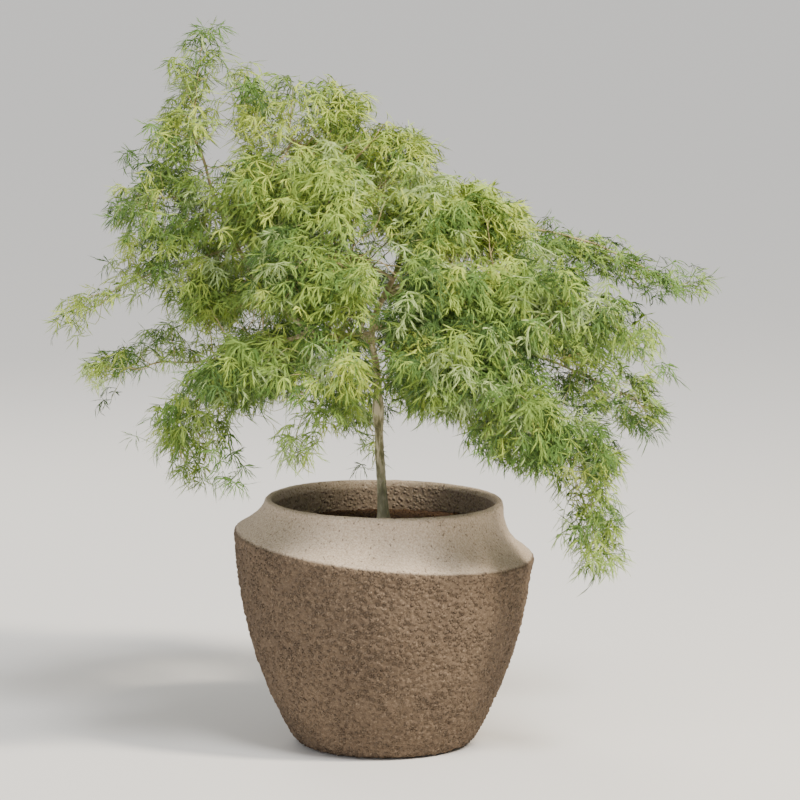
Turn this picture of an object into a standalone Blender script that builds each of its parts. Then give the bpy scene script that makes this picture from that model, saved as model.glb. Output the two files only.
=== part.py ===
"""Potted laceleaf maple: the solid pieces of one assembly.

Units are metres, +Z up, and the origin is the middle of the planter's flat underside.
The planter and its soil are turned shapes, the trunk and boughs are tapering tubes,
and each mass of foliage is a closed, uneven pad that its neighbours and its bough trim.
"""
import math
from collections import namedtuple

import bmesh
import bpy
from mathutils import Matrix, Vector, noise

CM = 0.01
GAP = 0.0003            # clearance between neighbouring meshes
SOCKET_GAP = 0.0004     # clearance round a bough inside its mass

# Planter
POT_SIDES = 32
FOOT_RADIUS = 0.150     # flat ring that the planter stands on
FOOT_ROUNDING = 0.027
BODY_LOW = (0.175, 0.015)     # radius and height just above the foot
BODY_MIDDLE = (0.247, 0.187)
BODY_HIGH = (0.276, 0.335)
SHOULDER_RADIUS = 0.2805
SHOULDER_HEIGHT = 0.379
SHOULDER_TILT = 0.026   # the shoulder rises this much to -X and falls as much to +X
SHOULDER_DIP = 0.006    # and falls this much to -Y, towards the front
SHOULDER_EDGE = 0.020   # height of the rounded edge under the shoulder line
RIM_RADIUS = 0.223      # outside of the lip
RIM_HEIGHT = 0.460
RIM_TILT = 0.003
LIP = 0.008             # half the thickness of the rounded lip
COVE_SLACK = 1.55       # how hollow the neck is at -X
COVE_DEEP = 2.8         # and at +X
MOUTH_RADIUS = 0.209
WALL = 0.026
FLOOR = 0.030

# Soil
SOIL_SIDES = POT_SIDES
SOIL_LEVEL = 0.405
SOIL_RELIEF = 0.004
STEM_PATCH = 0.035      # level ground under the trunk

# Limbs
TRUNK_SIDES = 9
BOUGH_SIDES = 6
TRUNK_STATIONS = (      # centre line in cm, from the soil to the upper fork
    (0.0, 0.0, 40.53),
    (-0.9, 0.0, 57.0),
    (-1.3, 0.0, 69.5),
    (-2.3, 0.0, 75.5),
    (-1.3, 0.4, 81.0),
    (2.2, 1.5, 88.0),
    (4.0, 2.0, 94.0),
)
TRUNK_RADIUS = 1.02     # cm, above the root flare
TRUNK_TOP_RADIUS = 0.46
FLARE = 0.95            # cm added to the radius at the soil
FLARE_HEIGHT = 1.6      # cm in which the flare dies away to a third
GRAFT_HEIGHT = 62.5     # cm, middle of the swelling where the maple was grafted
GRAFT_SWELL = 0.36      # cm added there
GRAFT_LENGTH = 2.6      # cm, half the swelling's length

# Foliage
SEGMENTS = 10
RING_ANGLES = (30.0, 58.0, 84.0, 110.0, 142.0)
UNEVEN = 0.42
FRINGE = 0.09
NOISE_GRAIN = 1.7

Bough = namedtuple("Bough", "name parent at into arch sway lead radius tip")
Mass = namedtuple("Mass", "name centre size lean droop")

# name, centre (cm), half-sizes (cm), lean in the XZ plane (degrees), droop of the edges (cm)
MASSES = [
    Mass("shoot_tip", (-31.9, 0, 130.0), (4.8, 4.4, 6.0), 0, 0.0),
    Mass("shoot_middle", (-35.0, 0, 115.8), (6.6, 6.2, 11.0), 0, 0.8),
    Mass("left_upper", (-46.2, -4, 100.6), (7.8, 7.6, 5.4), 20, 1.5),
    Mass("left_shoulder", (-38.4, -3, 94.8), (8.4, 8.6, 5.2), 12, 1.2),
    Mass("left_tip", (-51.2, -1, 84.4), (11.4, 6.8, 3.2), 24, 0.8),
    Mass("left_inner", (-31.7, -2, 83.8), (9.8, 9.6, 7.6), 10, 1.5),
    Mass("left_low_tip", (-46.4, 0, 71.9), (12.4, 7.2, 3.2), 16, 1.4),
    Mass("front_left_tip", (-36.4, -18, 63.6), (7.4, 7.2, 4.8), 18, 1.6),
    Mass("front_left", (-25.8, -24, 72.4), (11.2, 9.8, 6.4), 18, 2.0),
    Mass("front_left_hang", (-34.0, -15, 55.2), (3.8, 3.8, 4.8), 0, 0.0),
    Mass("front_hang", (-16.0, -28, 58.8), (3.8, 3.8, 5.2), 0, 1.0),
    Mass("front_low", (-9.0, -27, 71.4), (10.6, 10.2, 8.4), 0, 2.4),
    Mass("dome_left_top", (-21.8, 0, 115.4), (8.6, 9.4, 6.8), 14, 1.0),
    Mass("dome_top", (-10.0, 2, 116.2), (9.8, 9.8, 6.6), 0, 1.4),
    Mass("dome_top_right", (2.6, 4, 108.6), (9.8, 10.2, 6.8), -30, 1.4),
    Mass("dome_left", (-23.5, -6, 101.6), (9.6, 10.0, 9.0), 0, 1.2),
    Mass("dome_front", (-9.7, -13, 102.4), (10.8, 10.2, 9.4), 0, 1.8),
    Mass("front_upper", (-14.0, -22, 90.6), (12.4, 10.6, 9.2), 0, 2.0),
    Mass("dome_right", (8.0, -9, 98.2), (11.0, 10.8, 9.2), -14, 1.6),
    Mass("front_middle", (2.6, -25, 86.0), (11.6, 10.4, 9.4), 0, 2.2),
    Mass("right_upper", (19.2, 0, 97.0), (11.8, 11.4, 7.4), -30, 1.6),
    Mass("right_back_upper", (37.4, 15, 89.9), (11.6, 9.6, 3.2), -10, 0.8),
    Mass("right_back_tip", (54.6, 22, 83.9), (9.4, 7.8, 2.8), -12, 1.0),
    Mass("right_front_upper", (31.0, -14, 86.6), (10.6, 9.8, 6.0), -24, 1.2),
    Mass("right_front_tip", (43.0, -17, 79.4), (7.6, 7.2, 4.0), -26, 1.4),
    Mass("right_middle", (17.6, -17, 80.8), (13.4, 10.8, 8.6), -10, 2.0),
    Mass("right_middle_back", (34.6, 11, 73.2), (9.6, 9.0, 3.8), -10, 1.2),
    Mass("right_low", (14.8, -27, 72.0), (15.0, 11.0, 7.6), -16, 2.0),
    Mass("right_low_outer", (26.0, -27, 61.8), (11.4, 9.0, 6.6), -22, 1.6),
    Mass("right_fall_top", (36.6, -22, 57.0), (7.8, 7.0, 5.6), -20, 1.4),
    Mass("right_fall_tip", (37.4, -22, 43.4), (5.8, 5.6, 7.4), 0, 1.4),
    Mass("right_back_low", (39.4, 12, 63.4), (9.0, 8.8, 3.6), -6, 1.2),
    Mass("right_back_low_tip", (50.6, 15, 60.4), (7.6, 7.4, 3.8), -22, 1.8),
    Mass("back_top", (-6.5, 17.5, 106.2), (12.4, 11.0, 8.0), 0, 1.6),
    Mass("back_left_top", (-21.4, 19, 97.0), (11.2, 11.0, 7.6), 12, 1.6),
    Mass("back_right_top", (11.4, 21, 95.6), (12.4, 12.2, 7.8), -14, 1.6),
    Mass("back_left", (-27.7, 27, 81.4), (11.6, 11.0, 6.2), 14, 2.2),
    Mass("back_middle", (-6.7, 36, 83.6), (12.4, 10.6, 6.6), 0, 2.4),
    Mass("back_right", (15.5, 32, 78.2), (12.4, 11.4, 6.4), -12, 2.2),
    Mass("back_low_left", (-19.0, 31, 70.6), (11.6, 10.8, 7.4), 8, 1.2),
    Mass("back_low", (-4.4, 33, 58.4), (5.6, 7.4, 5.2), 0, 1.2),
]

# name, parent limb, place along it (0 to 1), mass it ends in, upward arch (cm), sideways sway (cm),
# lead (how far past the middle the bend lies, as a share), radius at the foot and at the tip (cm)
BOUGHS = [
    Bough("left_main", "trunk", 0.655, "shoot_middle", -15.4, 0.0, 0.165, 0.62, 0.26),
    Bough("left_low_bough", "left_main", 0.22, "left_low_tip", -2.4, 0.6, 0.0, 0.42, 0.17),
    Bough("left_arm_bough", "left_main", 0.62, "left_tip", 0.8, 0.5, 0.0, 0.30, 0.15),
    Bough("left_upper_bough", "left_main", 0.76, "left_upper", 2.2, -0.6, 0.0, 0.24, 0.14),
    Bough("dome_bough", "trunk", 0.985, "dome_left_top", 2.5, 0.5, 0.0, 0.36, 0.20),
    Bough("right_back_bough", "trunk", 0.985, "right_back_tip", 6.5, 1.2, -0.1, 0.38, 0.16),
    Bough("right_front_bough", "trunk", 0.79, "right_front_tip", 7.5, -1.4, 0.1, 0.42, 0.18),
    Bough("right_low_bough", "trunk", 0.70, "right_low_outer", 4.0, -1.0, 0.1, 0.46, 0.20),
    Bough("right_fall_bough", "right_low_bough", 0.70, "right_fall_tip", 8.5, 1.6, 0.2, 0.28, 0.14),
    Bough("right_back_low_bough", "trunk", 0.68, "right_back_low_tip", 4.0, 1.4, 0.0, 0.42, 0.18),
    Bough("front_left_bough", "left_main", 0.12, "front_left_tip", 4.4, -2.0, 0.0, 0.36, 0.18),
    Bough("front_low_bough", "trunk", 0.62, "front_low", 5.0, -0.8, 0.0, 0.34, 0.18),
    Bough("front_upper_bough", "trunk", 0.86, "front_upper", 2.4, 1.0, 0.0, 0.32, 0.18),
    Bough("back_left_bough", "trunk", 0.72, "back_left", 4.0, 1.5, 0.0, 0.40, 0.20),
    Bough("back_middle_bough", "trunk", 0.63, "back_low", 8.0, 1.4, 0.1, 0.36, 0.18),
    Bough("back_right_bough", "trunk", 0.80, "back_right", 4.4, -1.5, 0.0, 0.40, 0.20),
]

BITE = 0.50       # a bough stops at this share of its mass's half-sizes from the centre
BOUGH_RINGS = 9
TRUNK_RINGS = 20
FINE_POINTS = 160


def clear_scene():
    for obj in list(bpy.data.objects):
        bpy.data.objects.remove(obj, do_unlink=True)


def surface(name, colour, roughness):
    material = bpy.data.materials.new(name)
    material.use_nodes = True
    shader = material.node_tree.nodes["Principled BSDF"]
    shader.inputs["Base Color"].default_value = (*colour, 1.0)
    shader.inputs["Roughness"].default_value = roughness
    shader.inputs["Metallic"].default_value = 0.0
    return material


def new_object(name, verts, faces, material):
    """A mesh object from points and faces, triangulated, with its faces outwards."""
    mesh = bpy.data.meshes.new(name)
    shape = bmesh.new()
    corners = [shape.verts.new(point) for point in verts]
    for face in faces:
        shape.faces.new([corners[index] for index in face])
    bmesh.ops.triangulate(shape, faces=shape.faces)
    bmesh.ops.recalc_face_normals(shape, faces=shape.faces)
    shape.to_mesh(mesh)
    shape.free()
    mesh.shade_smooth()
    obj = bpy.data.objects.new(name, mesh)
    bpy.context.scene.collection.objects.link(obj)
    if material:
        obj.data.materials.append(material)
    return obj


def bridge_rings(first, second, count):
    """Quads between two closed rings of count points, given by their first indices."""
    quads = []
    for step in range(count):
        following = (step + 1) % count
        quads.append((first + step, first + following, second + following, second + step))
    return quads


# ---------------------------------------------------------------- planter and soil


def blend(start, end, share):
    return start + (end - start) * share


def body_radius(height):
    """Side wall: a parabola through its three named stations."""
    (r0, z0), (r1, z1), (r2, z2) = BODY_LOW, BODY_MIDDLE, BODY_HIGH
    lower = (r1 - r0) / (z1 - z0)
    upper = (r2 - r1) / (z2 - z1)
    bulge = (upper - lower) / (z2 - z0)
    return r0 + lower * (height - z0) + bulge * (height - z0) * (height - z1)


def shoulder_height(angle):
    return SHOULDER_HEIGHT - SHOULDER_TILT * math.cos(angle) + SHOULDER_DIP * math.sin(angle)


def outer_profile(angle):
    """Radius and height of the outside at one azimuth, from the foot up to the lip."""
    points = []
    for turn in (-90, -60, -30):
        a = math.radians(turn)
        radius = FOOT_RADIUS + FOOT_ROUNDING * math.cos(a)
        height = FOOT_ROUNDING * (1 + math.sin(a))
        points.append((radius, height))
    line = shoulder_height(angle)
    top = line - SHOULDER_EDGE
    for share in (0.10, 0.24, 0.40, 0.58, 0.78, 1.0):
        height = top * share
        points.append((min(body_radius(height), SHOULDER_RADIUS - 0.002), height))
    points.append((SHOULDER_RADIUS, line - 0.35 * SHOULDER_EDGE))
    points.append((SHOULDER_RADIUS - 0.003, line))
    rim = RIM_HEIGHT - RIM_TILT * math.cos(angle) - LIP
    hollow = blend(COVE_SLACK, COVE_DEEP, 0.5 + 0.5 * math.cos(angle))
    for share in (0.10, 0.26, 0.48, 0.74, 1.0):
        inward = 1 - (1 - share) ** hollow
        radius = blend(SHOULDER_RADIUS - 0.003, RIM_RADIUS, inward)
        points.append((radius, blend(line, rim, share)))
    return points


def lip_profile(angle):
    """Round lip, from outside to inside."""
    rim = RIM_HEIGHT - RIM_TILT * math.cos(angle) - LIP
    middle = RIM_RADIUS - LIP
    points = []
    for turn in (40, 90, 140):
        a = math.radians(turn)
        points.append((middle + LIP * math.cos(a), rim + LIP * math.sin(a)))
    return points


def inner_profile():
    """Inside of the wall, from the mouth down to the floor."""
    return [
        (MOUTH_RADIUS - 0.001, RIM_HEIGHT - 0.014),
        (MOUTH_RADIUS, SOIL_LEVEL + 0.012),
        (MOUTH_RADIUS + 0.004, SOIL_LEVEL - 0.020),
        (body_radius(0.30) - WALL, 0.30),
        (body_radius(0.16) - WALL, 0.16),
        (body_radius(FLOOR) - WALL - 0.006, FLOOR),
    ]


def turned(name, profile_at, sides, material):
    """Turn a profile that may change with azimuth; both ends close on the axis."""
    verts = []
    faces = []
    count = len(profile_at(0.0))
    for index in range(count):
        for step in range(sides):
            angle = 2 * math.pi * step / sides
            radius, height = profile_at(angle)[index]
            verts.append((radius * math.cos(angle), radius * math.sin(angle), height))
    for index in range(count - 1):
        faces += bridge_rings(index * sides, (index + 1) * sides, sides)
    first, last = profile_at(0.0)[0], profile_at(0.0)[-1]
    for height, ring in ((first[1], 0), (last[1], (count - 1) * sides)):
        verts.append((0.0, 0.0, height))
        for step in range(sides):
            faces.append((ring + step, ring + (step + 1) % sides, len(verts) - 1))
    return new_object(name, verts, faces, material)


def make_planter(material):
    return turned("planter", lambda a: outer_profile(a) + lip_profile(a) + inner_profile(),
                  POT_SIDES, material)


def soil_profile(angle):
    inner = inner_profile()
    slack = GAP + 0.0002
    points = [(inner[-1][0] - slack, inner[-1][1] + slack)]
    for radius, height in reversed(inner[2:-1]):
        points.append((radius - slack, height))
    edge = SOIL_LEVEL + SOIL_RELIEF * noise.noise(Vector((math.cos(angle), math.sin(angle), 3)) * 2)
    points.append((MOUTH_RADIUS - 0.001, edge - 0.002))
    for radius in (0.150, 0.080):
        place = Vector((radius * math.cos(angle), radius * math.sin(angle), 0.0)) * 30
        points.append((radius, SOIL_LEVEL + SOIL_RELIEF * noise.noise(place)))
    points.append((STEM_PATCH, SOIL_LEVEL))
    return points


def make_soil(material):
    return turned("soil", soil_profile, SOIL_SIDES, material)


# ---------------------------------------------------------------- limbs


def smooth_route(stations, count):
    """Evenly spaced points on a Catmull-Rom curve through the stations."""
    points = [Vector(p) for p in stations]
    points = [points[0] * 2 - points[1]] + points + [points[-1] * 2 - points[-2]]
    fine = []
    for index in range(1, len(points) - 2):
        p0, p1, p2, p3 = points[index - 1:index + 3]
        for step in range(24):
            t = step / 24
            bend = (2 * p0 - 5 * p1 + 4 * p2 - p3) * t * t
            twist = (3 * p1 - p0 - 3 * p2 + p3) * t * t * t
            fine.append(0.5 * (2 * p1 + (p2 - p0) * t + bend + twist))
    fine.append(points[-2])
    return even_spacing(fine, count)


def even_spacing(points, count):
    lengths = [0.0]
    for first, second in zip(points, points[1:]):
        lengths.append(lengths[-1] + (second - first).length)
    spaced = []
    index = 0
    for step in range(count):
        wanted = lengths[-1] * step / (count - 1)
        while index < len(points) - 2 and lengths[index + 1] < wanted:
            index += 1
        span = lengths[index + 1] - lengths[index]
        spaced.append(points[index].lerp(points[index + 1], (wanted - lengths[index]) / span))
    return spaced


def bough_route(start, end, arch, sway, lead, count):
    """An arching limb: a quadratic curve lifted by arch and pushed aside by sway."""
    heading = end - start
    aside = Vector((-heading.y, heading.x, 0.0))
    if aside.length > 0:
        aside.normalize()
    middle = start.lerp(end, 0.5 + lead) + Vector((0, 0, 2 * arch)) + aside * 2 * sway
    fine = []
    for step in range(49):
        t = step / 48
        fine.append(start * (1 - t) ** 2 + middle * 2 * t * (1 - t) + end * t * t)
    return even_spacing(fine, count)


def trunk_radius(height):
    rise = height - TRUNK_STATIONS[0][2]
    length = TRUNK_STATIONS[-1][2] - TRUNK_STATIONS[0][2]
    taper = blend(TRUNK_RADIUS, TRUNK_TOP_RADIUS, (rise / length) ** 0.9 if rise > 0 else 0.0)
    flare = FLARE * math.exp(-max(rise, 0.0) / FLARE_HEIGHT)
    graft = GRAFT_SWELL * math.exp(-((height - GRAFT_HEIGHT) / GRAFT_LENGTH) ** 2)
    return taper + flare + graft


def tube(name, route, radii, sides, material, level_ends=False):
    """A closed tube round a route in cm; level_ends keeps the first ring horizontal."""
    verts = []
    faces = []
    side = None
    for index, point in enumerate(route):
        ahead = route[min(index + 1, len(route) - 1)]
        behind = route[max(index - 1, 0)]
        along = (ahead - behind).normalized()
        if level_ends and index == 0:
            along = Vector((0, 0, 1))
        if side is None:
            side = along.orthogonal()
        side = (side - along * side.dot(along)).normalized()
        across = along.cross(side)
        for step in range(sides):
            angle = 2 * math.pi * step / sides
            spoke = side * math.cos(angle) + across * math.sin(angle)
            verts.append((point + spoke * radii[index]) * CM)
        if index:
            faces += bridge_rings((index - 1) * sides, index * sides, sides)
    faces.append(tuple(range(sides)))
    faces.append(tuple(range(len(verts) - sides, len(verts))))
    return new_object(name, verts, faces, material)


def grown(points, radii, gap):
    """The same limb with a clearance all round and past its tip."""
    extra = gap / CM
    reach = (points[-1] - points[-2]).normalized() * extra
    return points[:-1] + [points[-1] + reach], [radius + extra for radius in radii]


def make_cutter(name, route, radii, sides, gap, level_ends=False):
    points, wide = grown(route, radii, gap)
    obj = tube(name + "_cutter", points, wide, sides, None, level_ends)
    obj.hide_render = True
    obj.display_type = "WIRE"
    return obj


def boxes_meet(first, second):
    low_a, high_a = mesh_box(first)
    low_b, high_b = mesh_box(second)
    return all(low_a[i] < high_b[i] and low_b[i] < high_a[i] for i in range(3))


def mesh_box(obj):
    columns = list(zip(*(v.co for v in obj.data.vertices)))
    return [min(c) for c in columns], [max(c) for c in columns]


def cut(obj, cutters):
    """Subtract each cutter that reaches the object, and keep the largest piece."""
    touching = [cutter for cutter in cutters if boxes_meet(obj, cutter)]
    for cutter in touching:
        modifier = obj.modifiers.new("cut", "BOOLEAN")
        modifier.operation = "DIFFERENCE"
        modifier.solver = "EXACT"
        modifier.object = cutter
    if not touching:
        return
    bpy.context.view_layer.update()
    depsgraph = bpy.context.evaluated_depsgraph_get()
    mesh = bpy.data.meshes.new_from_object(obj.evaluated_get(depsgraph))
    obj.modifiers.clear()
    obj.data = mesh
    keep_largest(obj)


def keep_largest(obj):
    shape = bmesh.new()
    shape.from_mesh(obj.data)
    unseen = set(shape.verts)
    pieces = []
    while unseen:
        stack = [unseen.pop()]
        piece = set(stack)
        while stack:
            vert = stack.pop()
            for edge in vert.link_edges:
                other = edge.other_vert(vert)
                if other in unseen:
                    unseen.discard(other)
                    piece.add(other)
                    stack.append(other)
        pieces.append(piece)
    biggest = max(pieces, key=extent)
    for piece in pieces:
        if piece is not biggest:
            bmesh.ops.delete(shape, geom=list(piece), context="VERTS")
    shape.to_mesh(obj.data)
    shape.free()


def extent(piece):
    columns = list(zip(*(v.co for v in piece)))
    return sum(max(c) - min(c) for c in columns)


def point_along(route, share):
    place = share * (len(route) - 1)
    index = min(int(place), len(route) - 2)
    return route[index].lerp(route[index + 1], place - index)


def trim_route(route, mass):
    """Stop a route where it is well inside its mass."""
    centre = Vector(mass.centre)
    kept = []
    for point in route:
        kept.append(point)
        offset = point - centre
        reach = math.sqrt(sum((offset[i] / mass.size[i]) ** 2 for i in range(3)))
        if reach < BITE:
            break
    return kept


def make_limbs(bark, masses):
    """Trunk first, then each bough cut to sit against what carries it."""
    routes = {}
    cutters = []
    route = smooth_route(TRUNK_STATIONS, TRUNK_RINGS)
    radii = [trunk_radius(point.z) for point in route]
    tube("trunk", route, radii, TRUNK_SIDES, bark, level_ends=True)
    cutters.append(make_cutter("trunk", route, radii, TRUNK_SIDES, SOCKET_GAP, True))
    routes["trunk"] = route
    for bough in BOUGHS:
        start = point_along(routes[bough.parent], bough.at)
        mass = masses[bough.into]
        fine = bough_route(start, Vector(mass.centre), bough.arch, bough.sway,
                           bough.lead, FINE_POINTS)
        route = even_spacing(trim_route(fine, mass), BOUGH_RINGS)
        last = BOUGH_RINGS - 1
        radii = [blend(bough.radius, bough.tip, index / last) for index in range(BOUGH_RINGS)]
        obj = tube(bough.name, route, radii, BOUGH_SIDES, bark)
        cut(obj, cutters)
        cutters.append(make_cutter(bough.name, route, radii, BOUGH_SIDES, SOCKET_GAP))
        routes[bough.name] = route
    return cutters


# ---------------------------------------------------------------- foliage


def mass_directions():
    """Unit directions of a mass's points: a pole, rings and a pole."""
    directions = [Vector((0, 0, 1))]
    for ring, polar in enumerate(RING_ANGLES):
        for step in range(SEGMENTS):
            azimuth = 2 * math.pi * (step + 0.5 * (ring % 2)) / SEGMENTS
            across = math.sin(math.radians(polar))
            level = math.cos(math.radians(polar))
            directions.append(Vector((across * math.cos(azimuth), across * math.sin(azimuth), level)))
    directions.append(Vector((0, 0, -1)))
    return directions


def mass_offsets(mass, seed):
    """Offsets in cm of a mass's points from its centre, before its neighbours trim it."""
    lean = Matrix.Rotation(-math.radians(mass.lean), 3, "Y")
    offsets = []
    for index, direction in enumerate(mass_directions()):
        wobble = 1 + UNEVEN * noise.noise(direction * NOISE_GRAIN + Vector((seed * 7.3, 1.1, 4.7)))
        if direction.z < 0.5:
            wobble += FRINGE if index % 2 else -FRINGE
        point = Vector([direction[i] * mass.size[i] for i in range(3)]) * wobble
        spread = math.hypot(direction.x, direction.y) * wobble
        point.z -= mass.droop * spread * spread
        offsets.append(lean @ point)
    return offsets


def reach_along(offsets, direction):
    return max(offset.dot(direction) for offset in offsets)


def parting_plane(first, second, offsets_a, offsets_b):
    """Best direction to part two masses, and how far each may reach along it."""
    between = Vector(second.centre) - Vector(first.centre)
    scaled = Vector([between[i] / (first.size[i] ** 2 + second.size[i] ** 2) for i in range(3)])
    flat = scaled.normalized()
    straight = between.normalized()
    best = None
    for normal in (flat, straight, (flat + straight).normalized()):
        distance = between.dot(normal)
        reach_a = reach_along(offsets_a, normal)
        reach_b = reach_along(offsets_b, -normal)
        ratio = distance / (reach_a + reach_b)
        if best is None or ratio > best[0]:
            best = (ratio, normal, distance, reach_a, reach_b)
    ratio, normal, distance, reach_a, reach_b = best
    if distance >= reach_a + reach_b + 2 * GAP / CM:
        return None
    split = distance * reach_a / (reach_a + reach_b)
    return normal, split - GAP / CM, distance - split - GAP / CM


def mass_faces():
    faces = []
    for step in range(SEGMENTS):
        faces.append((0, 1 + step, 1 + (step + 1) % SEGMENTS))
    for ring in range(len(RING_ANGLES) - 1):
        first = 1 + ring * SEGMENTS
        second = first + SEGMENTS
        for step in range(SEGMENTS):
            ahead = (step + 1) % SEGMENTS
            if ring % 2 == 0:
                faces.append((first + step, first + ahead, second + step))
                faces.append((first + ahead, second + ahead, second + step))
            else:
                faces.append((first + step, second + ahead, second + step))
                faces.append((first + step, first + ahead, second + ahead))
    last = 1 + (len(RING_ANGLES) - 1) * SEGMENTS
    for step in range(SEGMENTS):
        faces.append((last + step, last + SEGMENTS, last + (step + 1) % SEGMENTS))
    return faces


def make_masses(leaf, limb_cutters):
    offsets = [mass_offsets(mass, seed) for seed, mass in enumerate(MASSES)]
    limits = [[] for mass in MASSES]
    for a in range(len(MASSES)):
        for b in range(a + 1, len(MASSES)):
            plane = parting_plane(MASSES[a], MASSES[b], offsets[a], offsets[b])
            if plane:
                normal, limit_a, limit_b = plane
                limits[a].append((normal, limit_a))
                limits[b].append((-normal, limit_b))
    faces = mass_faces()
    for mass, points, planes in zip(MASSES, offsets, limits):
        centre = Vector(mass.centre)
        verts = []
        for offset in points:
            share = 1.0
            for normal, limit in planes:
                reach = offset.dot(normal)
                if reach * share > limit:
                    share = limit / reach
            verts.append((centre + offset * share) * CM)
        obj = new_object("foliage_" + mass.name, verts, faces, leaf)
        cut(obj, limb_cutters)


def main():
    clear_scene()
    fired_clay = surface("fired_clay", (0.26, 0.20, 0.15), 0.9)
    potting_soil = surface("potting_soil", (0.05, 0.035, 0.025), 1.0)
    bark = surface("maple_bark", (0.24, 0.22, 0.16), 0.85)
    leaf = surface("maple_leaf", (0.22, 0.42, 0.07), 0.6)
    make_planter(fired_clay)
    make_soil(potting_soil)
    limb_cutters = make_limbs(bark, {mass.name: mass for mass in MASSES})
    make_masses(leaf, limb_cutters)


main()
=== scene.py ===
# %% [markdown]
# # A potted laceleaf maple
# A grafted laceleaf maple about a metre tall stands in a wide stoneware planter.
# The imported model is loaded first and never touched. It gives the planter's size, the solid
# that each mass of foliage fills, and the limbs that the new twigs have to grow on from.
# Everything that shows is then made around it: planter, soil, bark, twigs and leaves.

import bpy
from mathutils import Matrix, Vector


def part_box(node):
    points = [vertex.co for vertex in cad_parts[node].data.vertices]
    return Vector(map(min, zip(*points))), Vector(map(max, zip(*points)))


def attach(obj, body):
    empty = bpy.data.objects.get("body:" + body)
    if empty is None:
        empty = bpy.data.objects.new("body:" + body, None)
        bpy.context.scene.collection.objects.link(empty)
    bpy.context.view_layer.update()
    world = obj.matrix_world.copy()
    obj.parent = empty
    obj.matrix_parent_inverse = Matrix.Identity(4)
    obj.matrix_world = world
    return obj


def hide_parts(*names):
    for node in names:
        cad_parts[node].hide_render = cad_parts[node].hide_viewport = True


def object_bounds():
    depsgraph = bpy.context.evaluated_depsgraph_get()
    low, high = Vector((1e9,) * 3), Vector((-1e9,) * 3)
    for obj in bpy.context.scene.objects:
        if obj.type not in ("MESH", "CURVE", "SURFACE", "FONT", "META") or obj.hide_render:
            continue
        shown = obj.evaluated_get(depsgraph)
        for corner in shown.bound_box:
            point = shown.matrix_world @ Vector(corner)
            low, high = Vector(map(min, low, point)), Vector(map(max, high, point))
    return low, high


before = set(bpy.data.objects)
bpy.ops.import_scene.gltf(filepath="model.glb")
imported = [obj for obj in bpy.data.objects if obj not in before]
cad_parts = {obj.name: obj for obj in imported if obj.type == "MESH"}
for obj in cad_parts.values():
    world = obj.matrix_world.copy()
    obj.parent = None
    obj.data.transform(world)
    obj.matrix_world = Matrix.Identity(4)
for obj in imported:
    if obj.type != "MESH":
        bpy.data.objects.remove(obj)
solid_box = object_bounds()
print("solid box", [[round(value, 3) for value in corner] for corner in solid_box])

# %% [markdown]
# ## Helpers
# A few things are needed in every cell: hex colours turned to the linear values that
# Blender's sockets take, one function that adds a node, and one that starts a material.
# Sizes in millimetres or centimetres are turned to Blender's metres by MM and CM.
# Operators act on whatever is selected, so each modelling step starts from an empty
# selection, and then picks edges or faces by their place.

# %% Colours, nodes and materials
import math
import random
from collections import namedtuple

import bmesh
import bpy
import numpy as np
from mathutils import Matrix, Vector, bvhtree, kdtree, noise

CM = 0.01
MM = 0.001


def colour(hex_code):
    """An sRGB hex colour as linear RGBA."""
    channels = []
    for start in (1, 3, 5):
        value = int(hex_code[start:start + 2], 16) / 255
        channels.append(value / 12.92 if value <= 0.04045 else ((value + 0.055) / 1.055) ** 2.4)
    return (*channels, 1.0)


def add_node(tree, kind, inputs=None, **settings):
    """Add a node: settings are its properties, inputs its sockets' values or what they link to."""
    node = tree.nodes.new(kind)
    for name, value in settings.items():
        setattr(node, name, value)
    for name, value in (inputs or {}).items():
        if isinstance(value, bpy.types.NodeSocket):
            tree.links.new(value, node.inputs[name])
        else:
            node.inputs[name].default_value = value
    return node


def new_material(name, base, roughness, **sockets):
    """A Principled material with plain values; returns it with its tree and shader."""
    material = bpy.data.materials.new(name)
    material.use_nodes = True
    shader = material.node_tree.nodes["Principled BSDF"]
    shader.inputs["Base Color"].default_value = colour(base)
    shader.inputs["Roughness"].default_value = roughness
    for socket, value in sockets.items():
        shader.inputs[socket.replace("_", " ")].default_value = value
    return material, material.node_tree, shader


print("mid grey is", round(colour("#808080")[0], 3), "in linear light")


# %% Numbers, selection, modifiers and handing in
def blend(start, end, share):
    return start + (end - start) * share


def clamped(value, low=0.0, high=1.0):
    return min(max(value, low), high)


def select_only(*objects):
    bpy.ops.object.select_all(action="DESELECT")
    for obj in objects:
        obj.select_set(True)
    bpy.context.view_layer.objects.active = objects[0]


def apply_modifiers(obj):
    select_only(obj)
    for modifier in list(obj.modifiers):
        bpy.ops.object.modifier_apply(modifier=modifier.name)


def triangles(obj):
    return sum(len(face.vertices) - 2 for face in obj.data.polygons)


def hand_in(piece, nodes):
    """The piece rides on the one body and stands for these solids."""
    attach(piece, "root")
    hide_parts(*nodes)
    print(piece.name, triangles(piece), "triangles, stands for", len(nodes), "solids")


bpy.ops.object.select_all(action="DESELECT")
print("selected", len(bpy.context.selected_objects))

# %% [markdown]
# ## Camera, light and floor
# The plant is seen from seven metres away and a little above, through a long lens that
# keeps the planter's sides nearly parallel. The strongest lamp stands high on the right in
# front, a wide and weak one fills the left, and a third lights the crown from behind. Soft
# light from nearly overhead, like a bright sky, brings out the upper sides of the leaves.
# The floor is plain and pale, and so large that it also makes the background.

# %% Camera
LOOK_DOWN = 8.2         # degrees below level
FIELD_OF_VIEW = 12.0    # degrees across the square picture
DISTANCE = 7.05
LOOK_AT = Vector((0.0296, 0.0, 0.644))
SENSOR = 36.0           # mm, full frame
VIEW_END = 200.0        # metres, past the floor's far edge

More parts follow.
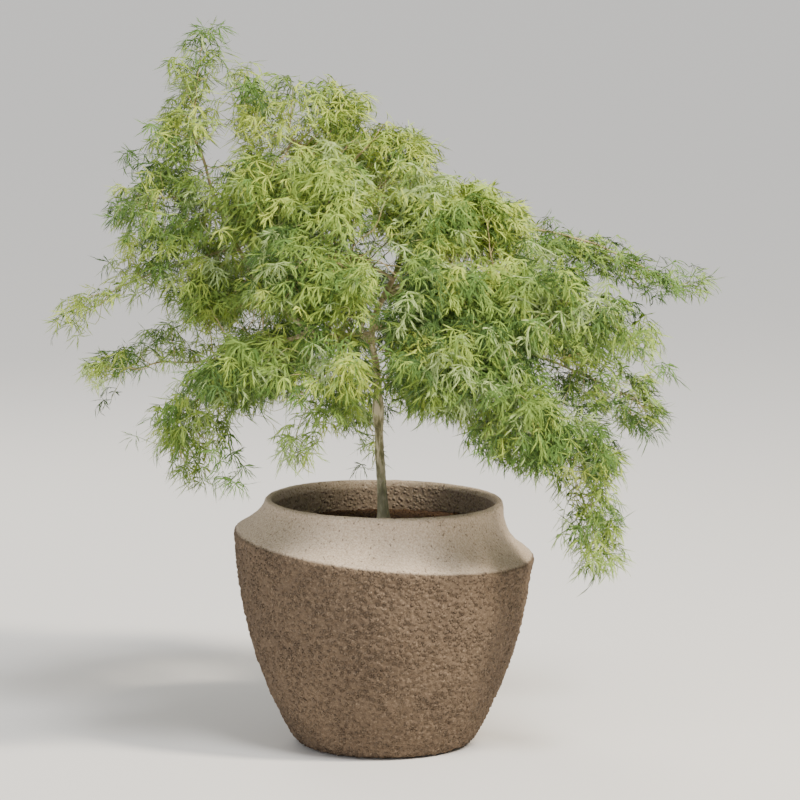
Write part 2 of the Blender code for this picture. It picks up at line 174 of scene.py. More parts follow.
tilt = math.radians(LOOK_DOWN)
forward = Vector((0.0, math.cos(tilt), -math.sin(tilt)))
bpy.ops.object.camera_add(location=LOOK_AT - forward * DISTANCE,
                          rotation=(math.radians(90 - LOOK_DOWN), 0.0, 0.0))
camera = bpy.context.object
camera.data.sensor_width = SENSOR
camera.data.lens = SENSOR / 2 / math.tan(math.radians(FIELD_OF_VIEW / 2))
camera.data.clip_end = VIEW_END
bpy.context.scene.camera = camera
print("camera at", [round(value, 3) for value in camera.location])

# %% Lamps, sky and floor
CROWN_MIDDLE = Vector((0.0, 0.0, 0.75))
LAMPS = (               # name, place, width (m), watts, colour
    ("key", (3.0, -1.9, 4.0), 0.6, 400.0, "#fff4e2"),
    ("fill", (-3.2, -3.4, 1.9), 3.0, 75.0, "#f4f5fa"),
    ("back", (-1.6, 3.2, 3.0), 2.0, 70.0, "#fffaf0"),
)
SKYLIGHT_TURN = (28, 18, 0)     # degrees: high up, a little in front and on the right
SKYLIGHT_STRENGTH = 2.5
SKYLIGHT_ACROSS = 16    # degrees: a wide light, so its shadows are soft
AIR_STRENGTH = 0.46     # even light from all around, which keeps the shadows open
FLOOR_SIZE = 160.0

for name, place, width, watts, tint in LAMPS:
    heading = CROWN_MIDDLE - Vector(place)
    bpy.ops.object.light_add(type="AREA", location=place,
                             rotation=heading.to_track_quat("-Z", "Y").to_euler())
    lamp = bpy.context.object
    lamp.name = name + "_lamp"
    lamp.data.size = width
    lamp.data.energy = watts
    lamp.data.color = colour(tint)[:3]

bpy.ops.object.light_add(type="SUN", rotation=[math.radians(turn) for turn in SKYLIGHT_TURN])
skylight = bpy.context.object
skylight.name = "skylight"
skylight.data.energy = SKYLIGHT_STRENGTH
skylight.data.angle = math.radians(SKYLIGHT_ACROSS)

world = bpy.data.worlds.new("studio_air")
world.use_nodes = True
air = world.node_tree.nodes["Background"]
air.inputs["Color"].default_value = colour("#eef1f5")
air.inputs["Strength"].default_value = AIR_STRENGTH
bpy.context.scene.world = world

bpy.ops.mesh.primitive_plane_add(size=FLOOR_SIZE)
floor = bpy.context.object
floor.name = "studio_floor"
floor.data.materials.append(new_material("pale_matt_paper", "#e2dfda", 0.95)[0])
print("lamps", len(LAMPS))

# %% [markdown]
# ## Planter: shape
# The real planter is stoneware thrown or pressed with coarse grog, its body left gritty and
# its shoulder scraped smooth. The shoulder isn't level: it stands higher on the left, and the
# neck above it is hollowed more on the right. A plain Screw modifier turns a shape that is the
# same all round, so it can't give that. Here a circle is extruded ring by ring, and each ring is
# resized, shifted and tilted to pass through four points of the outline, one on each side. Two
# levels of subdivision round it off, and the gritty body is cut finer still, for its lumps.

# %% Sizes of the planter, in metres
UNDERSIDE = (0.080, 0.138)      # radii of the flat rings it stands on
FOOT_RADIUS = 0.150             # middle of the foot's rounding
FOOT_ROUNDING = 0.027
FOOT_TURNS = (-84, -50, -16)    # degrees around that rounding
BODY_LOW = (0.175, 0.015)       # radius and height just above the foot
BODY_MIDDLE = (0.247, 0.187)
BODY_HIGH = (0.276, 0.335)
BODY_SHARES = (0.13, 0.22, 0.32, 0.43, 0.54, 0.65, 0.76, 0.87, 0.96)    # heights of its rings
SHOULDER_RADIUS = 0.2805
SHOULDER_HEIGHT = 0.379
SHOULDER_TILT = 0.026           # the line is this much higher at the left, and lower at the right
SHOULDER_DIP = 0.006            # and this much lower in front
SHOULDER_EDGE = 0.020           # height of the soft edge under the line
NECK_SHARES = (0.14, 0.30, 0.50, 0.74, 0.94)    # heights of the rings from the line to the rim
RIM_RADIUS = 0.223
RIM_HEIGHT = 0.460
RIM_TILT = 0.003
LIP = 0.008                     # half the lip's width
LIP_FULLNESS = 1.04
LIP_TURNS = (18, 62, 118, 162)  # degrees over the lip
COVE_SLACK = 1.55               # how hollow the neck is on the left
COVE_DEEP = 2.8                 # and on the right
MOUTH_RADIUS = 0.209
WALL = 0.026
FLOOR = 0.030
INNER_HEIGHTS = (0.26, 0.06)    # heights of the rings on the inner wall
SOIL_LEVEL = 0.405

print("planter", 2 * SHOULDER_RADIUS, "m across,", RIM_HEIGHT, "m high")


# %% Outline of the wall at one side
def body_radius(height):
    """Side wall: a parabola through its three named stations."""
    (r0, z0), (r1, z1), (r2, z2) = BODY_LOW, BODY_MIDDLE, BODY_HIGH
    lower = (r1 - r0) / (z1 - z0)
    upper = (r2 - r1) / (z2 - z1)
    bulge = (upper - lower) / (z2 - z0)
    return r0 + lower * (height - z0) + bulge * (height - z0) * (height - z1)


def shoulder_line(angle):
    return SHOULDER_HEIGHT - SHOULDER_TILT * math.cos(angle) + SHOULDER_DIP * math.sin(angle)


def wall_outline(angle):
    """Radius and height from under the foot, up the outside, over the lip and down inside."""
    points = [(radius, 0.0) for radius in UNDERSIDE]
    for turn in FOOT_TURNS:
        a = math.radians(turn)
        points.append((FOOT_RADIUS + FOOT_ROUNDING * math.cos(a), FOOT_ROUNDING * (1 + math.sin(a))))
    line = shoulder_line(angle)
    top = line - SHOULDER_EDGE
    for share in BODY_SHARES:
        points.append((min(body_radius(top * share), SHOULDER_RADIUS - 0.002), top * share))
    points.append((SHOULDER_RADIUS + 0.0005, line - 0.50 * SHOULDER_EDGE))
    points.append((SHOULDER_RADIUS + 0.0010, line - 0.16 * SHOULDER_EDGE))
    points.append((SHOULDER_RADIUS - 0.005, line + 0.0025))
    rim = RIM_HEIGHT - RIM_TILT * math.cos(angle) - LIP
    hollow = blend(COVE_SLACK, COVE_DEEP, 0.5 + 0.5 * math.cos(angle))
    for share in NECK_SHARES:
        inward = 1 - (1 - share) ** hollow
        points.append((blend(SHOULDER_RADIUS - 0.003, RIM_RADIUS, inward), blend(line, rim, share)))
    for turn in LIP_TURNS:
        a = math.radians(turn)
        points.append((RIM_RADIUS - LIP + LIP_FULLNESS * LIP * math.cos(a),
                       rim + LIP_FULLNESS * LIP * math.sin(a)))
    points.append((MOUTH_RADIUS - 0.001, RIM_HEIGHT - 0.022))
    points.append((MOUTH_RADIUS, SOIL_LEVEL + 0.014))
    points.append((MOUTH_RADIUS + 0.003, SOIL_LEVEL - 0.018))
    for height in INNER_HEIGHTS:
        points.append((body_radius(height) - WALL, height))
    points.append((0.100, FLOOR))
    return points


print("outline of", len(wall_outline(0.0)), "points")

# %% Centre, size and tilt of each ring
SIDES_OF_RING = [wall_outline(math.radians(turn)) for turn in (0, 90, 180, 270)]


def ring_pose(index):
    """Centre, radius and the two tilts of the ring through the outline's four sides."""
    (right, right_z), (back, back_z), (left, left_z), (front, front_z) = [
        side[index] for side in SIDES_OF_RING]
    centre = Vector(((right - left) / 2, (back - front) / 2, (right_z + left_z + back_z + front_z) / 4))
    radius = (right + left + back + front) / 4
    return centre, radius, math.atan2(left_z - right_z, 2 * radius), math.atan2(back_z - front_z, 2 * radius)


def turn_ring(angle, axis, centre):
    """With no window transform.rotate turns the other way, so the angle is negated."""
    if angle:
        bpy.ops.transform.rotate(value=-angle, orient_axis=axis, orient_type="GLOBAL",
                                 center_override=centre)


print("rings", len(SIDES_OF_RING[0]), "the widest", max(round(side[0], 4) for side in SIDES_OF_RING[0]), "m")

# %% Extrude the rings
POT_SIDES = 44
ROUNDING_LEVELS = 2

centre, radius, lean, dip = ring_pose(0)
bpy.ops.mesh.primitive_circle_add(vertices=POT_SIDES, radius=radius, fill_type="NGON", location=(0, 0, 0))
planter = bpy.context.object
planter.name = "stoneware_planter"
bpy.ops.object.mode_set(mode="EDIT")
bpy.ops.mesh.select_mode(type="EDGE")
bpy.ops.mesh.select_all(action="SELECT")
for index in range(1, len(SIDES_OF_RING[0])):
    new_centre, new_radius, new_lean, new_dip = ring_pose(index)
    bpy.ops.mesh.extrude_edges_move()
    turn_ring(-lean, "Y", centre)
    turn_ring(-dip, "X", centre)
    scale = new_radius / radius
    bpy.ops.transform.resize(value=(scale, scale, scale), center_override=centre)
    turn_ring(new_dip, "X", centre)
    turn_ring(new_lean, "Y", centre)
    bpy.ops.transform.translate(value=new_centre - centre)
    centre, radius, lean, dip = new_centre, new_radius, new_lean, new_dip
bpy.ops.mesh.edge_face_add()
bpy.ops.mesh.select_all(action="SELECT")
bpy.ops.mesh.normals_make_consistent(inside=False)
bpy.ops.object.mode_set(mode="OBJECT")
rounding = planter.modifiers.new("rounding", "SUBSURF")
rounding.levels = ROUNDING_LEVELS
rounding.render_levels = ROUNDING_LEVELS
apply_modifiers(planter)
print("rounded planter", triangles(planter), "triangles")

# %% Cut the gritty body finer
BODY_CUTS = 2               # cuts of each face where the body is gritty
CUT_MARGIN = 4 * MM         # they end this far over the line, and start this high

bpy.ops.object.mode_set(mode="EDIT")
bpy.ops.mesh.select_mode(type="FACE")
bpy.ops.mesh.select_all(action="DESELECT")
shape = bmesh.from_edit_mesh(planter.data)
for face in shape.faces:
    middle = face.calc_center_median()
    outside = middle.xy.length > body_radius(middle.z) - WALL / 2
    below = middle.z < shoulder_line(math.atan2(middle.y, middle.x)) + CUT_MARGIN
    face.select = outside and below and middle.z > CUT_MARGIN
shape.select_flush_mode()
bmesh.update_edit_mesh(planter.data)
bpy.ops.mesh.subdivide(number_cuts=BODY_CUTS, smoothness=0.0)
bpy.ops.object.mode_set(mode="OBJECT")
print("planter", triangles(planter), "triangles, size", [round(side, 3) for side in planter.dimensions])

# %% [markdown]
# ## Planter: rough body, scraped shoulder
# Grog and sand stand out of the body as lumps and pits of a few millimetres, while the
# shoulder above the line was scraped and shows only a few pits. Displace modifiers push the
# surface in and out by a texture. Two of them are slow and shallow, and leave the dents of
# hands and fingers. The others are the grit. A vertex group for each kind says how strongly
# each place takes it, so that the grit changes along the shoulder line, and the foot stays
# flat to stand on.

# %% Where the clay is rough
LINE_SOFTNESS = 4 * MM      # the scraping starts 2 mm below the line and ends over this
CALM_BAND = 45 * MM         # below the shoulder line the grit grows to its full height over this
ROUGH_UNDER_LINE = 0.5
ROUGH_SHOULDER = 0.16
ROUGH_INSIDE = 0.12
SCRAPED_INSIDE = 0.5        # how pale the inner wall is, between body and scraped shoulder
INNER_LIP = 14 * MM         # the lip's inner side is scraped down to this depth
FLAT_FOOT = 3 * MM
FLAT_SHARE = 0.3            # share of that height where the foot stays quite flat


def is_inside(place):
    """Whether a place is on the planter's inner wall, below the lip."""
    middle_of_wall = min(MOUTH_RADIUS + 4 * MM, body_radius(place.z) - WALL / 2)
    return FLOOR < place.z and math.hypot(place.x, place.y) < middle_of_wall


def over_foot(place):
    """0 on the ground, 1 above the foot."""
    return clamped(place.z / FLAT_FOOT - FLAT_SHARE)


def over_line(place):
    """0 on the body, 1 above the shoulder line."""
    line = shoulder_line(math.atan2(place.y, place.x))
    return clamped((place.z - line + 2 * MM) / LINE_SOFTNESS)


def roughness_at(place):
    """1 on the gritty body, less on the scraped shoulder and inside, 0 under the foot."""
    if is_inside(place):
        return ROUGH_INSIDE
    line = shoulder_line(math.atan2(place.y, place.x))
    body = blend(ROUGH_UNDER_LINE, 1.0, clamped((line - place.z) / CALM_BAND))
    return blend(body, ROUGH_SHOULDER, over_line(place)) * over_foot(place)


def scraped_at(place):
    """1 on the scraped shoulder and the lip, 0 on the body, in between inside."""
    if is_inside(place) and place.z < RIM_HEIGHT - INNER_LIP:
        return SCRAPED_INSIDE
    return over_line(place)


grit_group = planter.vertex_groups.new(name="grit")
hand_group = planter.vertex_groups.new(name="hand")
for vert in planter.data.vertices:
    grit_group.add([vert.index], roughness_at(vert.co), "REPLACE")
    hand_group.add([vert.index], over_foot(vert.co), "REPLACE")
scraped = planter.data.attributes.new("scraped", "FLOAT", "POINT")
scraped_values = [scraped_at(vert.co) for vert in planter.data.vertices]
scraped.data.foreach_set("value", scraped_values)
print("scraped", round(100 * sum(scraped_values) / len(scraped_values)), "percent of the points")


# %% Lumps, grog and the dents of hands
def push_by_texture(obj, name, kind, size, strength, group, **settings):
    """A Displace modifier with its own texture, in the object's own coordinates."""
    texture = bpy.data.textures.new(name, kind)
    texture.noise_scale = size
    for setting, value in settings.items():
        setattr(texture, setting, value)
    push = obj.modifiers.new(name, "DISPLACE")
    push.texture = texture
    push.texture_coords = "LOCAL"
    push.strength = strength
    push.vertex_group = group


push_by_texture(planter, "hand_made", "CLOUDS", 110 * MM, 2.6 * MM, "hand")
push_by_texture(planter, "finger_marks", "CLOUDS", 34 * MM, 2.0 * MM, "hand")
push_by_texture(planter, "lumps", "CLOUDS", 9 * MM, 4.6 * MM, "grit", noise_depth=2)
push_by_texture(planter, "grog", "VORONOI", 8 * MM, -4.0 * MM, "grit", noise_intensity=1.3)
apply_modifiers(planter)
planter.data.shade_smooth()
print("planter height after displacing", round(planter.dimensions.z, 4))

# %% [markdown]
# ## Planter: stoneware
# Unglazed stoneware scatters light evenly and has no gloss, so its roughness is near 0.9.
# Its colour comes from iron-bearing clay with paler sand: grains of 2 to 4 mm, pits of the
# same size painted dark as painted shade in them, and a slow change over a hand's breadth.
# The scraped shoulder is paler, partly because sand lies bare there and partly as painted
# light, since its upper side faces the light. The grains are drawn a little coarse, so they show.

# %% Stoneware material
SAND_GRAIN = 3.2 * MM
PIT = 5.5 * MM
KNOB = 7.5 * MM
SPARSE_PATCH = 38 * MM
CLAY_PATCH = 90 * MM

clay, tree, shader = new_material("gritty_stoneware", "#8a7560", 0.92)
shader.inputs["Specular IOR Level"].default_value = 0.25
where = add_node(tree, "ShaderNodeTexCoord").outputs["Object"]
sand = add_node(tree, "ShaderNodeTexNoise",
                {"Vector": where, "Scale": 1 / SAND_GRAIN, "Detail": 3.0, "Roughness": 0.65})
pits = add_node(tree, "ShaderNodeTexNoise",
                {"Vector": where, "Scale": 1 / PIT, "Detail": 4.0, "Roughness": 0.6})
knobs = add_node(tree, "ShaderNodeTexVoronoi", {"Vector": where, "Scale": 1 / KNOB}, feature="F1")
spread = add_node(tree, "ShaderNodeTexNoise", {"Vector": where, "Scale": 1 / SPARSE_PATCH, "Detail": 2.0})
patches = add_node(tree, "ShaderNodeTexNoise", {"Vector": where, "Scale": 1 / CLAY_PATCH, "Detail": 3.0})
bare = add_node(tree, "ShaderNodeAttribute", attribute_name="scraped").outputs["Fac"]
tone = add_node(tree, "ShaderNodeMix",
                {0: patches.outputs["Fac"], 6: colour("#55473a"), 7: colour("#756350")},
                data_type="RGBA")
sand_share = add_node(tree, "ShaderNodeMapRange",
                      {"Value": sand.outputs["Fac"], "From Min": 0.54, "From Max": 0.74, "To Max": 0.7})
bare_share = add_node(tree, "ShaderNodeMapRange",
                      {"Value": sand.outputs["Fac"], "From Min": 0.36, "From Max": 0.64})
# painted light: the shoulder's sand tones are paler than the body partly because its upper side faces the
# light
shoulder_sand_and_top_light = add_node(tree, "ShaderNodeMix",
                     {0: bare_share.outputs["Result"], 6: colour("#a8957f"), 7: colour("#c6b5a1")},
                     data_type="RGBA")
# painted shade: pits are darkened where the pit noise is low, which is where the bump sinks
body_pits = add_node(tree, "ShaderNodeMapRange",
                     {"Value": pits.outputs["Fac"], "From Min": 0.46, "From Max": 0.34, "To Max": 0.7})
few_pits = add_node(tree, "ShaderNodeMapRange",
                    {"Value": pits.outputs["Fac"], "From Min": 0.395, "From Max": 0.32, "To Max": 0.85})
pit_painted_shade = add_node(tree, "ShaderNodeMix",
                     {0: bare, 2: body_pits.outputs["Result"], 3: few_pits.outputs["Result"]})
layers = (              # sand grains, the scraped shoulder with painted top light, painted shade in the pits: each lies over what is before
    (sand_share.outputs["Result"], colour("#a08d75")),
    (bare, shoulder_sand_and_top_light.outputs[2]),
    (pit_painted_shade.outputs[0], colour("#4a3b2e")),
)
for share, layer in layers:
    tone = add_node(tree, "ShaderNodeMix", {0: share, 6: tone.outputs[2], 7: layer}, data_type="RGBA")
tree.links.new(tone.outputs[2], shader.inputs["Base Color"])
print("stoneware colour nodes", len(tree.nodes))

# %% Stoneware bumps
standing = add_node(tree, "ShaderNodeMapRange",
                    {"Value": knobs.outputs["Distance"], "From Min": 0.58, "From Max": 0.16},
                    interpolation_type="SMOOTHSTEP")
many = add_node(tree, "ShaderNodeMapRange",
                {"Value": spread.outputs["Fac"], "From Min": 0.32, "From Max": 0.55, "To Min": 0.35})
rough_share = add_node(tree, "ShaderNodeMapRange", {"Value": bare, "To Min": 1.0, "To Max": 0.18})
here_rough = add_node(tree, "ShaderNodeMath",
                      {0: many.outputs["Result"], 1: rough_share.outputs["Result"]}, operation="MULTIPLY")
knob_height = add_node(tree, "ShaderNodeMath",
                       {0: standing.outputs["Result"], 1: here_rough.outputs["Value"]},
                       operation="MULTIPLY")
knob_bump = add_node(tree, "ShaderNodeBump",
                     {"Height": knob_height.outputs["Value"], "Strength": 1.0, "Distance": 4.5 * MM})
coarse_bump = add_node(tree, "ShaderNodeBump",
                       {"Height": pits.outputs["Fac"], "Strength": 0.5, "Distance": 2.0 * MM,
                        "Normal": knob_bump.outputs["Normal"]})
fine_bump = add_node(tree, "ShaderNodeBump",
                     {"Height": sand.outputs["Fac"], "Strength": 0.4, "Distance": 1.0 * MM,
                      "Normal": coarse_bump.outputs["Normal"]})
tree.links.new(fine_bump.outputs["Normal"], shader.inputs["Normal"])
planter.data.materials.append(clay)
hand_in(planter, ["planter"])

# %% [markdown]
# ## Soil
# Dark, crumbly potting soil lies about 5 cm under the rim. It starts as a fine grid. What lies
# outside the mouth is deleted by its place, the edge left over is pulled down and closed,
# and two textures heap it up. Crumbs and bits of bark lie loose on top: one small faceted
# sphere, copied as arrays of points at many sizes and places, all in one mesh.

# %% Soil surface
SOIL_CELLS = 150
SOIL_REACH = MOUTH_RADIUS + 0.002
SOIL_DEPTH = 0.020
SOIL_SINK = 1.5 * MM        # the heaps rise on both sides of the soil's level

bpy.ops.mesh.primitive_grid_add(x_subdivisions=SOIL_CELLS, y_subdivisions=SOIL_CELLS,
                                size=2 * SOIL_REACH, location=(0, 0, SOIL_LEVEL - SOIL_SINK))
soil = bpy.context.object
soil.name = "potting_soil"
bpy.ops.object.transform_apply(location=True)
bpy.ops.object.mode_set(mode="EDIT")
bpy.ops.mesh.select_mode(type="VERT")
bpy.ops.mesh.select_all(action="DESELECT")
shape = bmesh.from_edit_mesh(soil.data)
for vert in shape.verts:
    vert.select = vert.co.xy.length > SOIL_REACH
shape.select_flush_mode()
bmesh.update_edit_mesh(soil.data)
bpy.ops.mesh.delete(type="VERT")
bpy.ops.mesh.select_all(action="SELECT")
bpy.ops.mesh.region_to_loop()
bpy.ops.mesh.extrude_edges_move(TRANSFORM_OT_translate={"value": (0, 0, -SOIL_DEPTH)})
bpy.ops.mesh.edge_face_add()
bpy.ops.object.mode_set(mode="OBJECT")
top_group = soil.vertex_groups.new(name="top")
for vert in soil.data.vertices:
    top_group.add([vert.index], 1.0 if vert.co.z > SOIL_LEVEL - 5 * MM else 0.0, "REPLACE")
push_by_texture(soil, "heaps", "CLOUDS", 60 * MM, 9 * MM, "top")
push_by_texture(soil, "crumble", "CLOUDS", 9 * MM, 6 * MM, "top", noise_depth=2)
apply_modifiers(soil)
soil.data.shade_smooth()
print("soil", triangles(soil), "triangles")

# %% Loose crumbs
CRUMB_COUNT = 620
FINE_SHARE = 0.8            # share of the crumbs that are fine
FINE_CRUMB = (1.2, 2.2)     # mm, half their size
COARSE_CRUMB = (2.5, 5.0)
CRUMB_SLANT = 0.5           # radians
random.seed(11)
bpy.ops.mesh.primitive_ico_sphere_add(subdivisions=1, radius=1.0)
crumb = bpy.context.object
crumb_points = np.array([vert.co[:] for vert in crumb.data.vertices])
crumb_faces = np.array([face.vertices[:] for face in crumb.data.polygons])
bpy.data.objects.remove(crumb)


def mesh_piece(name, points, faces, materials, shades=None):
    """An object from arrays of points and triangles, with a material number for each triangle."""
    mesh = bpy.data.meshes.new(name)
    mesh.from_pydata(points, [], faces)
    for material in materials:
        mesh.materials.append(material)
    if shades is not None:
        mesh.polygons.foreach_set("material_index", np.asarray(shades, dtype=np.int32))
    mesh.shade_smooth()
    mesh.update()
    piece = bpy.data.objects.new(name, mesh)
    bpy.context.scene.collection.objects.link(piece)
    return piece


def scattered_crumbs():
    """Crumbs over the whole surface, more of them small, each squashed and turned its own way."""
    points = []
    for _ in range(CRUMB_COUNT):
        outwards = (MOUTH_RADIUS - 8 * MM) * math.sqrt(random.random())
        around = random.uniform(0, 2 * math.pi)
        size = random.uniform(*(FINE_CRUMB if random.random() < FINE_SHARE else COARSE_CRUMB)) * MM
        squash = np.array([random.uniform(0.7, 1.5), random.uniform(0.6, 1.0), random.uniform(0.4, 0.8)])
        slant = Matrix.Rotation(random.uniform(-CRUMB_SLANT, CRUMB_SLANT), 3, "X")
        turn = np.array(Matrix.Rotation(around * 7, 3, "Z") @ slant)
        place = np.array([outwards * math.cos(around), outwards * math.sin(around),
                          SOIL_LEVEL + random.uniform(-1.5, 2.0) * MM])
        points.append(crumb_points * squash * size @ turn.T + place)
    starts = np.arange(CRUMB_COUNT) * len(crumb_points)
    faces = (crumb_faces[None] + starts[:, None, None]).reshape(-1, 3)
    return np.concatenate(points), faces


crumbs = mesh_piece("bark_crumbs", *scattered_crumbs(), [])
print("crumbs", CRUMB_COUNT)

# %% [markdown]
# Moist soil is nearly black-brown, with paler fibres and bits of composted bark. Its colour
# changes over a few millimetres, and a fine bump keeps it dull.

# %% Soil materials
SOIL_CRUMB = 5 * MM


def soil_material(name, dark, pale):
    earth, tree, shader = new_material(name, dark, 0.97)
    shader.inputs["Specular IOR Level"].default_value = 0.2
    where = add_node(tree, "ShaderNodeTexCoord").outputs["Object"]
    bits = add_node(tree, "ShaderNodeTexNoise",
                    {"Vector": where, "Scale": 1 / SOIL_CRUMB, "Detail": 5.0, "Roughness": 0.7})
    share = add_node(tree, "ShaderNodeMapRange",
                     {"Value": bits.outputs["Fac"], "From Min": 0.42, "From Max": 0.72})
    mixed = add_node(tree, "ShaderNodeMix", {0: share.outputs["Result"], 6: colour(dark), 7: colour(pale)},
                     data_type="RGBA")
    tree.links.new(mixed.outputs[2], shader.inputs["Base Color"])
    bump = add_node(tree, "ShaderNodeBump",
                    {"Height": bits.outputs["Fac"], "Strength": 0.7, "Distance": 2 * MM})
    tree.links.new(bump.outputs["Normal"], shader.inputs["Normal"])
    return earth


soil.data.materials.append(soil_material("moist_potting_soil", "#35261b", "#6b5340"))
crumbs.data.materials.append(soil_material("composted_bark", "#4a3525", "#8a6f55"))
hand_in(soil, ["soil"])
hand_in(crumbs, ["soil"])

# %% [markdown]
# ## Trunk and boughs
# A grafted maple has a slim trunk with a swelling at the graft, and boughs that leave it with
# a small collar and then arch outwards. Each limb is a curve whose points carry their radius,
# so one bevel gives the taper. The curves are turned into meshes, joined, and remeshed with
# fine voxels, which welds every bough into the limb that bears it, as living wood does.
# Two textures then raise the ridges of the bark.

# %% Centre lines of the limbs, in centimetres
TRUNK_STATIONS = (      # from the soil to the upper fork
    (0.0, 0.0, 40.53),
    (-0.9, 0.0, 57.0),
    (-1.3, 0.0, 69.5),
    (-2.3, 0.0, 75.5),
    (-1.3, 0.4, 81.0),
    (2.2, 1.5, 88.0),
    (4.0, 2.0, 94.0),
)
# name, limb it grows from, place along that limb (0 to 1), point it heads for, upward arch,
# sideways sway, lead of the bend past the middle, share of the way it goes, radius at foot and tip
BOUGHS = (
    ("left_main", "trunk", 0.655, (-35.0, 0, 115.8), -15.4, 0.0, 0.165, 0.912, 0.62, 0.26),
    ("left_low_bough", "left_main", 0.22, (-46.4, 0, 71.9), -2.4, 0.6, 0.0, 0.824, 0.42, 0.17),
    ("left_arm_bough", "left_main", 0.62, (-51.2, -1, 84.4), 0.8, 0.5, 0.0, 0.874, 0.30, 0.15),
    ("left_upper_bough", "left_main", 0.76, (-46.2, -4, 100.6), 2.2, -0.6, 0.0, 0.792, 0.24, 0.14),
    ("dome_bough", "trunk", 0.985, (-21.8, 0, 115.4), 2.5, 0.5, 0.0, 0.887, 0.36, 0.20),
    ("right_back_bough", "trunk", 0.985, (54.6, 22, 83.9), 6.5, 1.2, -0.1, 0.956, 0.38, 0.16),
    ("right_front_bough", "trunk", 0.79, (43.0, -17, 79.4), 7.5, -1.4, 0.1, 0.950, 0.42, 0.18),
    ("right_low_bough", "trunk", 0.70, (26.0, -27, 61.8), 4.0, -1.0, 0.1, 0.912, 0.46, 0.20),
    ("right_fall_bough", "right_low_bough", 0.70, (37.4, -22, 43.4), 8.5, 1.6, 0.2, 0.906, 0.28, 0.14),
    ("right_back_low_bough", "trunk", 0.68, (50.6, 15, 60.4), 4.0, 1.4, 0.0, 0.956, 0.42, 0.18),
    ("front_left_bough", "left_main", 0.12, (-36.4, -18, 63.6), 4.4, -2.0, 0.0, 0.925, 0.36, 0.18),
    ("front_low_bough", "trunk", 0.62, (-9.0, -27, 71.4), 5.0, -0.8, 0.0, 0.849, 0.34, 0.18),
    ("front_upper_bough", "trunk", 0.86, (-14.0, -22, 90.6), 2.4, 1.0, 0.0, 0.811, 0.32, 0.18),
    ("back_left_bough", "trunk", 0.72, (-27.7, 27, 81.4), 4.0, 1.5, 0.0, 0.874, 0.40, 0.20),
    ("back_middle_bough", "trunk", 0.63, (-4.4, 33, 58.4), 8.0, 1.4, 0.1, 0.937, 0.36, 0.18),
    ("back_right_bough", "trunk", 0.80, (15.5, 32, 78.2), 4.4, -1.5, 0.0, 0.881, 0.40, 0.20),
)
print("boughs", len(BOUGHS))

# %% Smooth routes with evenly spaced points
STATION_STEPS = 24      # points from one station of the trunk to the next
ARCH_STEPS = 160        # steps of a bough's whole arch, of which it goes its share


def even_spacing(points, count):
    """The same route with a given number of points, each as far from the next."""
    lengths = [0.0]
    for first, second in zip(points, points[1:]):
        lengths.append(lengths[-1] + (second - first).length)
    spaced = []
    index = 0
    for step in range(count):
        wanted = lengths[-1] * step / (count - 1)
        while index < len(points) - 2 and lengths[index + 1] < wanted:
            index += 1
        span = lengths[index + 1] - lengths[index]
        spaced.append(points[index].lerp(points[index + 1], (wanted - lengths[index]) / span))
    return spaced


def smooth_route(stations):
    """A Catmull-Rom curve through the stations."""
    points = [Vector(p) for p in stations]
    points = [points[0] * 2 - points[1]] + points + [points[-1] * 2 - points[-2]]
    fine = []
    for index in range(1, len(points) - 2):
        p0, p1, p2, p3 = points[index - 1:index + 3]
        for step in range(STATION_STEPS):
            t = step / STATION_STEPS
            bend = (2 * p0 - 5 * p1 + 4 * p2 - p3) * t * t
            twist = (3 * p1 - p0 - 3 * p2 + p3) * t * t * t
            fine.append(0.5 * (2 * p1 + (p2 - p0) * t + bend + twist))
    return fine + [points[-2]]


def bough_route(start, end, arch, sway, lead, share):
    """The first share of an arching limb: a quadratic curve lifted by arch and pushed aside by sway."""
    heading = end - start
    aside = Vector((-heading.y, heading.x, 0.0)).normalized()
    middle = start.lerp(end, 0.5 + lead) + Vector((0, 0, 2 * arch)) + aside * 2 * sway
    fine = [start * (1 - t) ** 2 + middle * 2 * t * (1 - t) + end * t * t for t in np.linspace(0, 1, 49)]
    spaced = even_spacing(fine, ARCH_STEPS + 1)
    return spaced[:round(share * ARCH_STEPS) + 1]


def route_length(route):
    return sum((second - first).length for first, second in zip(route, route[1:]))


def point_along(route, share):
    place = share * (len(route) - 1)
    index = min(int(place), len(route) - 2)
    return route[index].lerp(route[index + 1], place - index)


TRUNK_POINTS = 90
route = even_spacing(smooth_route(TRUNK_STATIONS), TRUNK_POINTS)
print("trunk", round(route_length(route), 1), "cm along its curve")

# %% Thickness of the trunk and the boughs, in centimetres
TRUNK_FOOT = 1.02
TRUNK_TOP = 0.46
TAPER_POWER = 0.9       # just under 1: the trunk thins a little faster near the soil
FLARE = 0.95            # how much thicker it is where the roots leave it
FLARE_HEIGHT = 1.6
GRAFT = 0.36            # how much thicker at the graft
GRAFT_AT = 62.5
GRAFT_REACH = 2.6
COLLAR = 0.55           # share by which a bough is thicker where it leaves its limb
COLLAR_LENGTH = 0.9
NODE_SPACING = 5.5      # between the rings left by old leaf pairs
NODE_SWELL = 0.14       # share by which a node is thicker
NODE_LENGTH = 0.35


def trunk_radius(height):
    rise = height - TRUNK_STATIONS[0][2]
    length = TRUNK_STATIONS[-1][2] - TRUNK_STATIONS[0][2]
    taper = blend(TRUNK_FOOT, TRUNK_TOP, (rise / length) ** TAPER_POWER if rise > 0 else 0.0)
    flare = FLARE * math.exp(-max(rise, 0.0) / FLARE_HEIGHT)
    graft = GRAFT * math.exp(-((height - GRAFT_AT) / GRAFT_REACH) ** 2)
    return taper + flare + graft


def swelling(run):
    """How much thicker a limb is where it passes a leaf node."""
    off = (run + NODE_SPACING / 2) % NODE_SPACING - NODE_SPACING / 2
    return 1 + NODE_SWELL * math.exp(-(off / NODE_LENGTH) ** 2)


print("trunk radius at the soil and at the fork",
      [round(trunk_radius(TRUNK_STATIONS[end][2]), 2) for end in (0, -1)], "cm")

